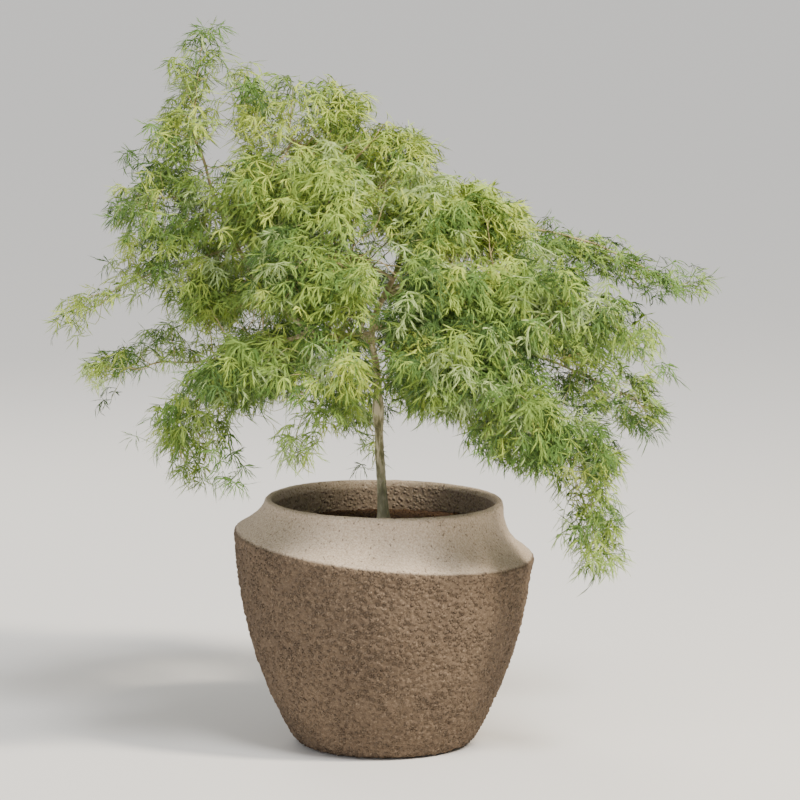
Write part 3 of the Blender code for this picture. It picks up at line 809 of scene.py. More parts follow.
# %% Route and radii of every limb
ROUTE_STEP = 0.6        # cm between the points of a limb
FEWEST_POINTS = 8
KINK = 0.32             # cm that a limb may wander from its smooth line between two leaf nodes
KINK_START = 4          # cm over which that grows to its full size

limbs = {"trunk": (route, [trunk_radius(point.z) for point in route])}
for number, (name, parent, at, goal, arch, sway, lead, share, foot, tip) in enumerate(BOUGHS):
    start = point_along(limbs[parent][0], at)
    smooth = bough_route(start, Vector(goal), arch, sway, lead, share)
    length = route_length(smooth)
    smooth = even_spacing(smooth, max(int(length / ROUTE_STEP), FEWEST_POINTS))
    route = []
    radii = []
    for index, point in enumerate(smooth):
        run = length * index / (len(smooth) - 1)
        wander = Vector([noise.noise((run / NODE_SPACING, number * 3.7, 0.5 + axis * 5.1))
                         for axis in range(3)])
        route.append(point + wander * KINK * min(run / KINK_START, 1.0))
        collar = 1 + COLLAR * math.exp(-run / COLLAR_LENGTH)
        radii.append(blend(foot, tip, run / length) * collar * swelling(run))
    limbs[name] = (route, radii)
print("limbs", len(limbs), "total length", round(sum(route_length(r) for r, _ in limbs.values())), "cm")

# %% Weld the limbs into one skin
LIMB_VOXEL = 1.45 * MM
TUBE_ROUNDNESS = 4      # steps of the bevel's quarter circle
SOFTEN = 0.5            # takes the voxels' steps off the skin
SOFTEN_ROUNDS = 2


def limb_tube(name, route, radii):
    """A closed tube along the route: the bevel is 1 cm, and each point's radius scales it."""
    bpy.ops.object.select_all(action="DESELECT")
    bpy.ops.object.add(type="CURVE")
    tube = bpy.context.object
    tube.name = name
    tube.data.dimensions = "3D"
    tube.data.bevel_depth = CM
    tube.data.bevel_resolution = TUBE_ROUNDNESS
    tube.data.use_fill_caps = True
    spline = tube.data.splines.new("POLY")
    spline.points.add(len(route) - 1)
    for knot, point, radius in zip(spline.points, route, radii):
        knot.co = (*(point * CM), 1.0)
        knot.radius = radius
    bpy.ops.object.convert(target="MESH")
    return tube


tubes = [limb_tube(name, route, radii) for name, (route, radii) in limbs.items()]
select_only(*tubes)
bpy.ops.object.join()
bark = bpy.context.object
bark.name = "maple_bark"
weld = bark.modifiers.new("weld", "REMESH")
weld.mode = "VOXEL"
weld.voxel_size = LIMB_VOXEL
soften = bark.modifiers.new("soften", "SMOOTH")
soften.factor = SOFTEN
soften.iterations = SOFTEN_ROUNDS
apply_modifiers(bark)
print("welded limbs", triangles(bark), "triangles")

# %% Ridges and knobs of the bark
SMOOTH_ABOVE = 0.95     # metres: up to here the bark gets smoother
FULL_BELOW = 0.65       # metres: down from here it has its full relief
LEAST_RELIEF = 0.15
ROOTED = 8 * MM         # above the soil the relief grows over this

relief_group = bark.vertex_groups.new(name="relief")
for vert in bark.data.vertices:
    thick = clamped((SMOOTH_ABOVE - vert.co.z) / (SMOOTH_ABOVE - FULL_BELOW), LEAST_RELIEF)
    grounded = clamped((vert.co.z - SOIL_LEVEL) / ROOTED)
    relief_group.add([vert.index], thick * grounded, "REPLACE")
push_by_texture(bark, "ridges", "CLOUDS", 7 * MM, 1.3 * MM, "relief", noise_depth=2)
push_by_texture(bark, "knobs", "CLOUDS", 24 * MM, 1.4 * MM, "relief")
apply_modifiers(bark)
bark.data.shade_smooth()
print("bark", triangles(bark), "triangles")

# %% [markdown]
# Young maple bark is smooth and grey-olive, with long pale streaks where the outer skin has
# stretched, and darker green between them. The streaks follow the trunk, so the pattern is
# stretched along Z. The foot is painted paler, as painted light where the pot's mouth shades it.
# Above the first forks the wood is younger and turns tan.

# %% Bark material
STREAK = 9 * MM
BARK_GRAIN = 2.5 * MM

wood, tree, shader = new_material("young_maple_bark", "#7f7a5c", 0.72)
where = add_node(tree, "ShaderNodeTexCoord").outputs["Object"]
along = add_node(tree, "ShaderNodeMapping", {"Vector": where, "Scale": (1.0, 1.0, 0.28)})
streaks = add_node(tree, "ShaderNodeTexNoise",
                   {"Vector": along.outputs["Vector"], "Scale": 1 / STREAK, "Detail": 4.0, "Roughness": 0.6})
grain = add_node(tree, "ShaderNodeTexNoise",
                 {"Vector": where, "Scale": 1 / BARK_GRAIN, "Detail": 3.0})
height = add_node(tree, "ShaderNodeSeparateXYZ", {"Vector": where}).outputs["Z"]
youth = add_node(tree, "ShaderNodeMapRange", {"Value": height, "From Min": 0.66, "From Max": 0.86})
old_dark = add_node(tree, "ShaderNodeMapRange",
                    {"Value": streaks.outputs["Fac"], "From Min": 0.30, "From Max": 0.48})
# painted light: the trunk is paler below 0.54 m, where the pot's mouth shades it
painted_light_foot_share = add_node(tree, "ShaderNodeMapRange",
                      {"Value": height, "From Min": 0.54, "From Max": 0.42, "To Max": 0.55})
pale_share = add_node(tree, "ShaderNodeMapRange",
                      {"Value": streaks.outputs["Fac"], "From Min": 0.49, "From Max": 0.60})
new_wood = add_node(tree, "ShaderNodeMix",
                    {0: streaks.outputs["Fac"], 6: colour("#7d6c47"), 7: colour("#c0ae86")},
                    data_type="RGBA")
tone = add_node(tree, "ShaderNodeMix",
                {0: old_dark.outputs["Result"], 6: colour("#535034"), 7: colour("#8b8660")},
                data_type="RGBA")
layers = (              # pale streaks, painted light on the foot, young wood: each lies over what is before
    (pale_share, colour("#cfc5a4")),
    (painted_light_foot_share, colour("#c3bda2")),
    (youth, new_wood.outputs[2]),
)
for share, layer in layers:
    tone = add_node(tree, "ShaderNodeMix", {0: share.outputs["Result"], 6: tone.outputs[2], 7: layer},
                    data_type="RGBA")
tree.links.new(tone.outputs[2], shader.inputs["Base Color"])
bump = add_node(tree, "ShaderNodeBump",
                {"Height": grain.outputs["Fac"], "Strength": 0.4, "Distance": 0.6 * MM})
tree.links.new(bump.outputs["Normal"], shader.inputs["Normal"])
bark.data.materials.append(wood)
hand_in(bark, list(limbs))

# %% [markdown]
# ## Masses and thin sprays
# Each mass of foliage in the frame is a closed solid, and a tree of its faces answers how deep
# a place lies in it. Not every spray is a mass: the thin ends of the limbs bear leaves too, and
# so do a few single sprays outside the masses. Both are kept as points in a second tree, with
# a leafy sleeve round them that counts as crown.

# %% Read the masses and the thin limbs
BOX_MARGIN = 6 * CM         # a place further than this from a mass's box is not tested against it
THIN_LIMB = 0.30            # cm: limbs this thin bear leaves all along
CLOTHED = 3.6 * CM          # how far the leafy sleeve reaches around them
SPRAY_STEP = 0.22           # cm between the points of a single spray
LOOSE_SPRAYS = (            # where the single sprays start and end (cm)
    ((-3.4, 30.0, 57.0), (-2.6, 24.5, 47.0)),
    ((-33.0, 0.0, 127.0), (-29.0, -0.5, 131.0)),
    ((-28.5, 0.0, 118.0), (-24.5, -1.0, 124.5)),
    ((-55.0, -0.5, 81.6), (-60.0, -0.5, 79.6)),
    ((55.0, 22.0, 84.6), (61.5, 22.0, 83.0)),
)


class Mass:
    """One mass of foliage: its faces, box, middle and half-sizes."""

    def __init__(self, node):
        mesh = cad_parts[node].data
        self.node = node
        self.name = node[len("foliage_"):]
        self.skin = bvhtree.BVHTree.FromPolygons([vert.co for vert in mesh.vertices],
                                                 [face.vertices for face in mesh.polygons])
        self.low, self.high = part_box(node)
        self.middle = (self.low + self.high) / 2
        self.half = (self.high - self.low) / 2

    def depth(self, place):
        """Metres from the place to the skin, negative outside."""
        near, normal, _, gap = self.skin.find_nearest(place)
        return gap if (place - near).dot(normal) < 0 else -gap

    def may_hold(self, place):
        return all(abs(place[i] - self.middle[i]) < self.half[i] + BOX_MARGIN for i in range(3))


def depth_in_masses(place):
    """Depth in whichever mass holds the place best, and that mass's number."""
    best = (-BOX_MARGIN, 0)
    for number, mass in enumerate(masses):
        if mass.may_hold(place):
            best = max(best, (mass.depth(place), number))
    return best


def depth_in_crown(place):
    """The same, but the leafy sleeve round a thin limb counts as crown too."""
    depth, number = depth_in_masses(place)
    return max(depth, CLOTHED - thin_limbs.find(place)[2]), number


masses = [Mass(node) for node in sorted(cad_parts) if node.startswith("foliage_")]
thin_places = [point * CM for route, radii in limbs.values()
               for point, radius in zip(route, radii) if radius < THIN_LIMB]
for start, end in LOOSE_SPRAYS:
    count = round((Vector(end) - Vector(start)).length / SPRAY_STEP)
    thin_places += [Vector(start).lerp(Vector(end), step / count) * CM for step in range(count + 1)]
thin_limbs = kdtree.KDTree(len(thin_places))
for number, place in enumerate(thin_places):
    thin_limbs.insert(place, number)
thin_limbs.balance()
print("masses", len(masses), "places on thin limbs", len(thin_places))

# %% [markdown]
# ## Where the twigs have to reach
# Targets for the twigs are thrown into every mass, evenly by volume. Twigs stay in its core,
# because a leaf reaches 5 to 8 cm past the twig that bears it. So targets near the crown's outer
# skin are left out. How near varies from place to place, or the crown would look clipped.
# A laceleaf's foliage lies in shallow tiers with air between them. A noise that changes
# faster upwards than sideways leaves those gaps, and elsewhere lanes are kept open
# through which the trunk and the sky show. The thin ends of the crown are less full.

# %% How full each mass is
TARGETS_PER_LITRE = 325
# share of the targets, where 1 is a mass in the crown's middle
FULLNESS = {
    "shoot_tip": 0.80, "shoot_middle": 0.90, "left_upper": 0.42, "left_shoulder": 0.50,
    "left_inner": 0.75, "left_tip": 0.20, "left_low_tip": 0.45, "front_left_tip": 0.45,
    "front_left_hang": 0.45, "front_hang": 0.70, "front_low": 0.50, "dome_left_top": 0.70,
    "dome_top": 0.66, "dome_top_right": 0.48, "right_upper": 0.72, "right_front_upper": 0.80,
    "right_front_tip": 0.44, "right_fall_top": 0.42, "right_fall_tip": 0.60,
    "right_back_upper": 0.65, "right_back_tip": 0.42, "right_middle_back": 0.85,
    "right_back_low": 0.70, "right_back_low_tip": 0.42,
}
print("masses thinned out", len(FULLNESS), "of", len(masses))

# %% Lanes and tiers
SIGHT_SLOPE = 0.144         # the lanes sink by this much per metre, like the line of sight
# lanes through the crown, seen from the front: middle across and up (cm at the trunk), half the
# width and height (cm), share left out in them, depth behind the trunk where they end (cm)
OPENINGS = (
    (-1.3, 64.0, 2.2, 5.5, 0.70, 0),
    (-1.8, 75.5, 2.0, 6.5, 0.80, 0),
    (1.2, 85.0, 2.7, 6.5, 0.92, 0),
    (-29.5, 115.0, 2.6, 11.0, 0.92, 60),
    (-24.0, 78.5, 4.4, 3.0, 0.60, 60),
    (-14.0, 59.6, 4.2, 2.6, 0.60, 60),
    (-59.0, 63.0, 5.0, 5.0, 1.00, 60),
    (57.0, 59.0, 3.0, 4.0, 1.00, 60),
)
TIER_WIDE = 11 * CM         # the gaps between tiers are about this wide
TIER_HIGH = 5.5 * CM        # and this high
TIER_GAP = -0.11            # a place is in a gap where the noise is below this
BRIDGE = 3.6 * CM           # twigs also fill the clefts between two masses this near each other


def in_opening(place):
    across, up = place.x / CM, (place.z + place.y * SIGHT_SLOPE) / CM
    for middle, height, half_width, half_height, share, end in OPENINGS:
        inside = ((across - middle) / half_width) ** 2 + ((up - height) / half_height) ** 2 < 1
        if inside and place.y < end * CM and random.random() < share:
            return True
    return False


def in_tier(place):
    wide = Vector((place.x / TIER_WIDE, place.y / TIER_WIDE, place.z / TIER_HIGH))
    return noise.noise(wide) > TIER_GAP


def in_cleft(place, mass):
    """Whether a place just outside this mass is as near to another one."""
    others = [other.depth(place) for other in masses if other is not mass and other.may_hold(place)]
    return bool(others) and -BRIDGE < max(others) < 0


print("lanes", len(OPENINGS))

# %% Throw the targets
LEAF_REACH = 3.0 * CM       # how far inside the crown's skin the twigs end
UNEVENNESS = 1.3            # how much that changes from place to place
UNEVEN_SIZE = 7 * CM        # over about this distance
CORE_SHARE = 0.74           # a target this near its mass's middle needs no such distance
TIER_CORE = 0.5             # and one this near is kept even in a gap between tiers
TIER_IN_CLEFT = 0.5         # share of the targets in a gap that a cleft loses
CLOTHING = 0.5              # targets for each place on a thin limb
CLOTHING_SPREAD = 0.4       # how far they lie from it, as a share of the sleeve


def kept_in_cleft(place, depth, mass):
    thin_out = not in_tier(place) and random.random() < TIER_IN_CLEFT
    return depth > -BRIDGE and not thin_out and in_cleft(place, mass)


def kept_in_mass(place, mass):
    offset = place - mass.middle
    share = math.sqrt(sum((offset[i] / mass.half[i]) ** 2 for i in range(3)))
    if share > TIER_CORE and not in_tier(place):
        return False
    reach = LEAF_REACH * (1.0 + UNEVENNESS * noise.noise(place / UNEVEN_SIZE))
    return share < CORE_SHARE or depth_in_crown(place + offset.normalized() * reach)[0] > 0


def twig_targets():
    targets = []
    margin = Vector((BRIDGE, BRIDGE, BRIDGE))
    for mass in masses:
        size = mass.high - mass.low + 2 * margin
        litres = size.x * size.y * size.z * 1000
        for _ in range(int(litres * TARGETS_PER_LITRE * FULLNESS.get(mass.name, 1.0))):
            place = mass.low - margin + Vector([random.random() * size[i] for i in range(3)])
            if in_opening(place):
                continue
            depth = mass.depth(place)
            kept = kept_in_mass(place, mass) if depth >= 0 else kept_in_cleft(place, depth, mass)
            if kept:
                targets.append(place[:])
    for place in thin_places:
        if depth_in_masses(place)[0] < 0 and random.random() < CLOTHING:
            aside = Vector([random.gauss(0, CLOTHING_SPREAD) for _ in range(3)])
            targets.append((place + aside * CLOTHED)[:])
    return np.array(targets)


random.seed(23)
targets = twig_targets()
print("targets", len(targets))

# %% [markdown]
# ## Twigs
# A branching rule grows them: every target pulls the nearest bud, each bud that is pulled
# grows one step towards the mean of its targets, and a target that is reached is crossed off.
# The limbs' own points are the first buds, so every twig starts on a limb. A little of the last
# heading and a slight fall towards the ground are added, which gives the arching sprays of
# a laceleaf maple. The radius at each point comes from how many tips it has to feed.

# %% Buds, distances and room
TWIG_STEP = 1.25 * CM
CROWDED = 0.55            # two twigs of one bud keep this share of a step apart
MOST_TWIGS = 4            # that one bud bears
BUD_HEIGHT = 66 * CM      # no bud breaks lower on the trunk


def first_buds():
    buds = []
    for name, (route, _) in limbs.items():
        for point in route[::2]:
            if name != "trunk" or point.z * CM > BUD_HEIGHT:
                buds.append(point * CM)
    return np.array([bud[:] for bud in buds])


def nearest_of(places, points):
    """For each place, the number of the nearest point and its distance."""
    gaps = np.linalg.norm(places[:, None, :] - points[None, :, :], axis=2)
    numbers = gaps.argmin(axis=1)
    return numbers, gaps[np.arange(len(places)), numbers]


def unit(vectors):
    return vectors / np.maximum(np.linalg.norm(vectors, axis=-1, keepdims=True), 1e-9)


def has_room(place, twigs):
    """Whether a bud with these twigs can bear one more at this place."""
    crowded = any(np.linalg.norm(place - twig) < CROWDED * TWIG_STEP for twig in twigs)
    return len(twigs) < MOST_TWIGS and not crowded


print("first buds", len(first_buds()))

# %% Grow the twigs
TARGET_REACHED = 1.35 * CM
KEEP_HEADING = 0.55       # weight of the last heading
FALL = 0.16               # and of the ground
WOBBLE = 0.14             # and of chance, where the pull of the targets is 1
MOST_ROUNDS = 170


def grow(buds, targets, chance):
    """Points of the twigs and each one's parent; a parent always comes before its children."""
    points = buds.copy()
    parents = [-1] * len(points)
    headings = np.zeros_like(points)
    children = {}
    bud_of, gap = nearest_of(targets, points)
    for _ in range(MOST_ROUNDS):
        if not len(targets):
            break
        pull = np.zeros_like(points)
        np.add.at(pull, bud_of, unit(targets - points[bud_of]))
        pulled = np.unique(bud_of)
        ahead = unit(pull[pulled]) + headings[pulled] * KEEP_HEADING
        ahead += chance.normal(0, WOBBLE, ahead.shape) - np.array([0, 0, FALL])
        fresh = points[pulled] + unit(ahead) * TWIG_STEP
        blocked = []
        added = []
        for bud, place in zip(pulled, fresh):
            if has_room(place, [points[child] for child in children.get(bud, [])]):
                children.setdefault(bud, []).append(len(points) + len(added))
                parents.append(int(bud))
                added.append(place)
            else:
                blocked.append(bud)
        if added:
            added = np.array(added)
            first_new = len(points)
            points = np.concatenate([points, added])
            headings = np.concatenate([headings, unit(added - points[parents[first_new:]])])
            new_bud, new_gap = nearest_of(targets, added)
            closer = new_gap < gap
            bud_of = np.where(closer, new_bud + first_new, bud_of)
            gap = np.where(closer, new_gap, gap)
        open_target = gap > TARGET_REACHED
        for bud in blocked:
            own = np.flatnonzero((bud_of == bud) & open_target)
            if len(own):
                open_target[own[gap[own].argmin()]] = False
        targets, bud_of, gap = targets[open_target], bud_of[open_target], gap[open_target]
    return points, np.array(parents)


chance = np.random.default_rng(5)
points, parents = grow(first_buds(), targets, chance)
print("twig points", int((parents >= 0).sum()))

# %% Cut back what strays, and smooth the rest
MOST_STRAY = 1.0 * CM     # how far out of the crown a twig may end
SMOOTHING_ROUNDS = 2


def cut_back(points, parents):
    """Leave out the ends that have strayed out of the crown."""
    keep = np.ones(len(points), bool)
    bears = np.zeros(len(points), bool)
    for index in range(len(points) - 1, -1, -1):
        if parents[index] < 0:
            continue
        if bears[index] or depth_in_crown(Vector(points[index]))[0] > -MOST_STRAY:
            bears[parents[index]] = True
        else:
            keep[index] = False
    number = np.cumsum(keep) - 1
    return points[keep], np.where(parents[keep] < 0, -1, number[parents[keep]])


def smoothed(points):
    """Each inner point at half its own place, a quarter its parent's and a quarter its children's."""
    sums = np.zeros_like(points)
    counts = np.zeros(len(points))
    np.add.at(sums, parents[is_twig], points[is_twig])
    np.add.at(counts, parents[is_twig], 1)
    inner = is_twig & has_child
    result = points.copy()
    result[inner] = (0.5 * points[inner] + 0.25 * points[parents[inner]]
                     + 0.25 * sums[inner] / counts[inner, None])
    return result


points, parents = cut_back(points, parents)
is_twig = parents >= 0
has_child = np.zeros(len(points), bool)
has_child[parents[is_twig]] = True
for _ in range(SMOOTHING_ROUNDS):
    points = smoothed(points)
print("twig points", int(is_twig.sum()), "tips", int((is_twig & ~has_child).sum()))

# %% Thickness, distance to the tip and spray of every twig point
TIP_RADIUS = 0.50 * MM
PIPE_POWER = 2.5          # how the cross-sections of two twigs add up in the one that bears them
THICKEST_TWIG = 2.4 * MM
SPRAY_TIPS = 7            # a twig that feeds no more tips than this is one spray

tips_fed = np.where(is_twig & ~has_child, 1, 0)
to_tip = np.zeros(len(points), int)
for index in range(len(points) - 1, -1, -1):
    if is_twig[index]:
        tips_fed[parents[index]] += tips_fed[index]
        to_tip[parents[index]] = max(to_tip[parents[index]], to_tip[index] + 1)
radii = np.minimum(TIP_RADIUS * np.maximum(tips_fed, 1) ** (1 / PIPE_POWER), THICKEST_TWIG)
spray = np.arange(len(points))
for index in range(len(points)):
    if is_twig[index] and tips_fed[parents[index]] <= SPRAY_TIPS and is_twig[parents[index]]:
        spray[index] = spray[parents[index]]
aheads = np.zeros_like(points)        # the way a twig heads at each point
aheads[is_twig] = unit(points[is_twig] - points[parents[is_twig]])
for index in np.flatnonzero(is_twig)[::-1]:
    if not is_twig[parents[index]]:
        aheads[parents[index]] = aheads[index]      # a bud on a limb heads as its first twig does
print("sprays", len(np.unique(spray[is_twig])), "thickest", round(radii[is_twig].max() * 1000, 2), "mm")

# %% [markdown]
# ## Leaves
# A laceleaf has seven thread-like lobes on a thin stalk, each lobe cut into forward-pointing
# teeth, and each arching over at its tip. Leaves stand in opposite pairs, every pair turned
# a quarter from the last. One flat outline of a lobe is worked out once, as distances along it and
# across it. Arrays then bend it for every lobe of every leaf: its heading sinks evenly along
# its length, which is how a limp blade hangs. No leaf is a copy of another.

# %% How the leaves stand in each part of the crown
# masses, stalk (cm), blade (cm), fall of the blade (degrees), bend of a lobe (radians per cm),
# how much further than elsewhere the blades stand out (cm)
HABITS = {
    "shoot": (("shoot_tip", "shoot_middle"), 2.3, 4.8, (-15, 75), (0.06, 0.22), -0.1),
    "left": (("left_upper", "left_shoulder", "left_tip", "left_inner", "left_low_tip"),
             2.2, 4.1, (20, 85), (0.06, 0.24), -0.2),
    "low": (("front_left_tip", "front_left", "front_left_hang", "front_hang", "front_low"),
            2.7, 4.9, (15, 80), (0.05, 0.26), 0.2),
    "dome": (("dome_left_top", "dome_top", "dome_top_right", "right_upper"),
             2.8, 4.5, (-5, 62), (0.06, 0.25), -0.6),
    "upper": (("dome_left", "dome_front", "dome_right"), 2.8, 4.7, (0, 68), (0.06, 0.27), 0.0),
    "middle": (("front_upper", "front_middle"), 2.8, 4.7, (0, 70), (0.06, 0.27), 0.0),
    "right": (("right_front_upper", "right_front_tip", "right_middle"),
              2.8, 4.9, (15, 82), (0.06, 0.27), 1.0),
    "right_fall": (("right_low", "right_low_outer", "right_fall_top", "right_fall_tip"),
                   2.8, 4.9, (15, 82), (0.06, 0.27), 1.0),
    "far": (("right_back_upper", "right_back_tip", "right_middle_back", "right_back_low",
             "right_back_low_tip"), 2.9, 4.4, (0, 60), (0.05, 0.22), 0.0),
    "back_high": (("back_top", "back_left_top", "back_right_top"),
                  2.8, 4.5, (-5, 65), (0.06, 0.26), -0.4),
    "back_low": (("back_left", "back_middle", "back_right", "back_low_left", "back_low"),
                 2.8, 4.5, (5, 72), (0.06, 0.26), 0.0),
}
habit_of = {name: habit for habit, row in HABITS.items() for name in row[0]}
assert sorted(habit_of) == sorted(mass.name for mass in masses)
print("parts of the crown", len(HABITS))

# %% Leaf shades
# Plain colours, from the silvery green of new leaves to deep green. The pale shades also stand in
# for sunlit leaves, as painted light, and the two darkest for leaves in shade, as painted shade.
SHADES = (
    ("silvery_new_leaf", "#9db172"),
    ("yellow_new_leaf", "#abbb54"),
    ("bright_leaf", "#94ab4d"),
    ("fresh_leaf", "#7a9445"),
    ("grown_leaf", "#5d7b3a"),
    ("deep_leaf", "#46602f"),
    ("shaded_leaf", "#324822"),
)
# share of each shade in each part of the crown: more pale shades on the dome and upper parts, as
# painted light from above, and more dark ones in the middle and far parts, as painted shade
SHADE_SHARES = {
    "shoot": (0.20, 0.14, 0.26, 0.26, 0.12, 0.02, 0.0),
    "left": (0.12, 0.20, 0.22, 0.26, 0.16, 0.04, 0.0),
    "low": (0.18, 0.12, 0.22, 0.26, 0.17, 0.05, 0.0),
    "dome": (0.25, 0.40, 0.25, 0.08, 0.02, 0.0, 0.0),
    "upper": (0.14, 0.24, 0.28, 0.20, 0.11, 0.03, 0.0),
    "middle": (0.10, 0.08, 0.15, 0.26, 0.25, 0.14, 0.02),
    "right": (0.15, 0.05, 0.20, 0.27, 0.22, 0.10, 0.01),
    "right_fall": (0.15, 0.05, 0.20, 0.27, 0.22, 0.10, 0.01),
    # painted shade: the far right back is given mostly dark shades
    "far": (0.02, 0.04, 0.10, 0.20, 0.32, 0.25, 0.07),
    "back_high": (0.10, 0.16, 0.24, 0.26, 0.18, 0.06, 0.0),
    "back_low": (0.08, 0.08, 0.16, 0.28, 0.26, 0.12, 0.02),
}
OWN_SHADE = 0.38          # share of the leaves that differ from the shade of their spray
INSIDE = 3.6 * CM         # leaves deeper in the crown than this are a shade darker, as painted shade
PALEST_INSIDE = 3         # than the fresh leaf at least
leaf_materials = [new_material(name, tone, 0.68, Specular_IOR_Level=0.16)[0] for name, tone in SHADES]
print("leaf shades", len(leaf_materials))


def spray_shade(habit):
    return random.choices(range(len(SHADES)), SHADE_SHARES[habit])[0]


def leaf_shade(mark, habit, depth):
    """Number of a leaf's shade: mostly its spray's, and darker deep in the crown, as painted shade."""
    if mark not in shade_of_spray:
        shade_of_spray[mark] = spray_shade(habit)
    shade = spray_shade(habit) if random.random() < OWN_SHADE else shade_of_spray[mark]
    # painted shade: deep in the crown a leaf takes a darker colour
    if depth > INSIDE:
        shade = min(max(shade, PALEST_INSIDE) + 1, len(SHADES) - 1)
    return shade

# %% Find room for a leaf
OVER_BOX = (32 * MM, 20 * MM, 36 * MM)      # how far past the solids' box blades may reach
FAR_LOBE = 1.22         # reach of a blade with a long lobe, in blade lengths
UP = Vector((0, 0, 1))
# weights of the ways a stalk heads: aside from the twig, along it, out of the crown, and by chance
WEIGHTS = (0.75, 0.45, 0.70, 0.2)
MOST_LIFT = 0.4         # how much it may rise as well
FLAT_CROWN = 0.6        # out of the crown is more to the sides than up
ROLL = 0.55             # radians by which a blade is turned about its middle lobe
STALK_SIZES = (0.55, 1.15)
BLADE_SIZES = (0.78, 1.12)
TRIES = 3               # each with a shorter stalk, until the blade stays with the crown
SHORTER = 0.3
BLADE_MIDDLE = (0.45, 0.12)     # how far ahead of its foot and below it, in blade lengths

Leaf = namedtuple("Leaf", "root foot ahead upper size bend mass shade twig")


def inside_box(foot, reach):
    return all(solid_box[0][i] - OVER_BOX[i] < foot[i] - reach
               and foot[i] + reach < solid_box[1][i] + OVER_BOX[i] for i in range(3))


def blade_pose(root, out, stalk_length, fall, roll):
    """Foot of the blade, the way its middle lobe points, and its upper side."""
    foot = root + out * stalk_length
    level = Vector((out.x, out.y, 0)).normalized()
    ahead = level * math.cos(fall) - UP * math.sin(fall)
    upper = (UP - ahead * ahead.z).normalized()
    return foot, ahead, Matrix.Rotation(roll, 3, ahead) @ upper


def room_for_leaf(root, way, along, habit, proud):
    """Blade of a leaf that stays with the crown, its middle, depth and mass; None without room."""
    _, stalk, blade, falls, _, further = HABITS[habit]
    outwards = Vector((root.x, root.y, (root.z - CROWN_MIDDLE.z) * FLAT_CROWN)).normalized()
    sideways, forwards, off, by_chance = WEIGHTS
    for attempt in range(TRIES):
        out = way * sideways + along * forwards + outwards * off + UP * random.uniform(0.0, MOST_LIFT)
        out = (out + Vector([random.gauss(0, by_chance) for _ in range(3)])).normalized()
        length = stalk * random.uniform(*STALK_SIZES) * CM * (1 - SHORTER * attempt)
        fall = math.radians(random.uniform(*falls))
        foot, ahead, upper = blade_pose(root, out, length, fall, random.gauss(0, ROLL))
        size = blade * random.uniform(*BLADE_SIZES)
        middle = foot + ahead * size * BLADE_MIDDLE[0] * CM - UP * size * BLADE_MIDDLE[1] * CM
        depth, mass = depth_in_crown(middle)
        if depth > -proud - further * CM and inside_box(foot, size * FAR_LOBE * CM):
            return (foot, ahead, upper, size), middle, depth, mass
    return None


print("a leaf tries", TRIES, "stalks, each shorter by", SHORTER)

# %% Place the leaves
PAIR_EVERY = 2          # twig steps between two pairs of leaves
PAIR_TURN = 0.5         # radians by which a pair is off its quarter turn
LEAFY_STEPS = 8         # steps from the tip that still bear leaves
STAND_PROUD = (-2.2 * CM, 1.7 * CM)     # how far blades may stand out of their mass, by spray


def leaf_ways(index, along):
    """The ways the leaves of a twig point stand: a pair, and a third at the tip."""
    quarter = (to_tip[index] // PAIR_EVERY) % 2 * math.pi / 2 + random.uniform(-PAIR_TURN, PAIR_TURN)
    aside = Matrix.Rotation(quarter, 3, along) @ along.cross(UP).normalized()
    return [aside, -aside] if to_tip[index] else [aside, -aside, along]


def place_leaves():
    leaves = []
    proud_of_spray = {}
    for index in np.flatnonzero(is_twig):
        if to_tip[index] > LEAFY_STEPS or to_tip[index] % PAIR_EVERY:
            continue
        root = Vector(points[index])
        along = Vector(aheads[index])
        proud = proud_of_spray.setdefault(spray[index], random.uniform(*STAND_PROUD))
        habit = habit_of[masses[depth_in_crown(root)[1]].name]
        for way in leaf_ways(index, along):
            room = room_for_leaf(root, way, along, habit, proud)
            if room is None or in_opening(room[1]):
                continue
            pose, _, depth, mass = room
            shade = leaf_shade(spray[index], habit, depth)
            bend = random.uniform(*HABITS[habit][4])
            leaves.append(Leaf(root, *pose, bend, mass, shade, index))
    return leaves


random.seed(41)
shade_of_spray = {}
leaves = place_leaves()
print("leaves", len(leaves))

# %% [markdown]
# Thousands of twig pieces are far too many to model by hand, so they are one mesh from arrays:
# a ring of five points round each twig point, and a band of faces from each ring to the ring
# of its parent. The ring's frame is carried from parent to child, so that no band is wrung.
# Twigs that bear no leaf are left out, as a healthy plant sheds them. This year's shoots are
# green, last year's are tan, and older twigs grey-brown. These colours have a place, so they
# are plain and dealt out by thickness.

# %% Rings round the twig points
TWIG_SIDES = 5
TIP_SHARE = 0.5           # share of its radius that a twig keeps at its tip

sides = np.zeros_like(points)
for index in range(len(points)):
    if is_twig[index]:
        ahead = Vector(aheads[index])
        side = Vector(sides[parents[index]]) if sides[parents[index]].any() else ahead.orthogonal()
        side = side - ahead * side.dot(ahead)
        sides[index] = side.normalized()
        if not sides[parents[index]].any():
            sides[parents[index]] = side.normalized()
across = np.cross(aheads, sides)
ring_angles = np.arange(TWIG_SIDES) * 2 * math.pi / TWIG_SIDES
ring_radii = np.where(to_tip == 0, TIP_SHARE * radii, radii)
rings = (points[:, None] + ring_radii[:, None, None]
         * (sides[:, None] * np.cos(ring_angles)[None, :, None]
            + across[:, None] * np.sin(ring_angles)[None, :, None]))
print("rings", len(rings))

# %% Twig mesh
NEW_TWIG = 0.75 * MM      # twigs thinner than this are this year's
YOUNG_TWIG = 1.35 * MM    # and thinner than this, last year's
TWIG_TONES = (("green_shoot", "#a6a866", 0.55), ("tan_twig", "#bba777", 0.62),
              ("brown_twig", "#8d7b58", 0.7))

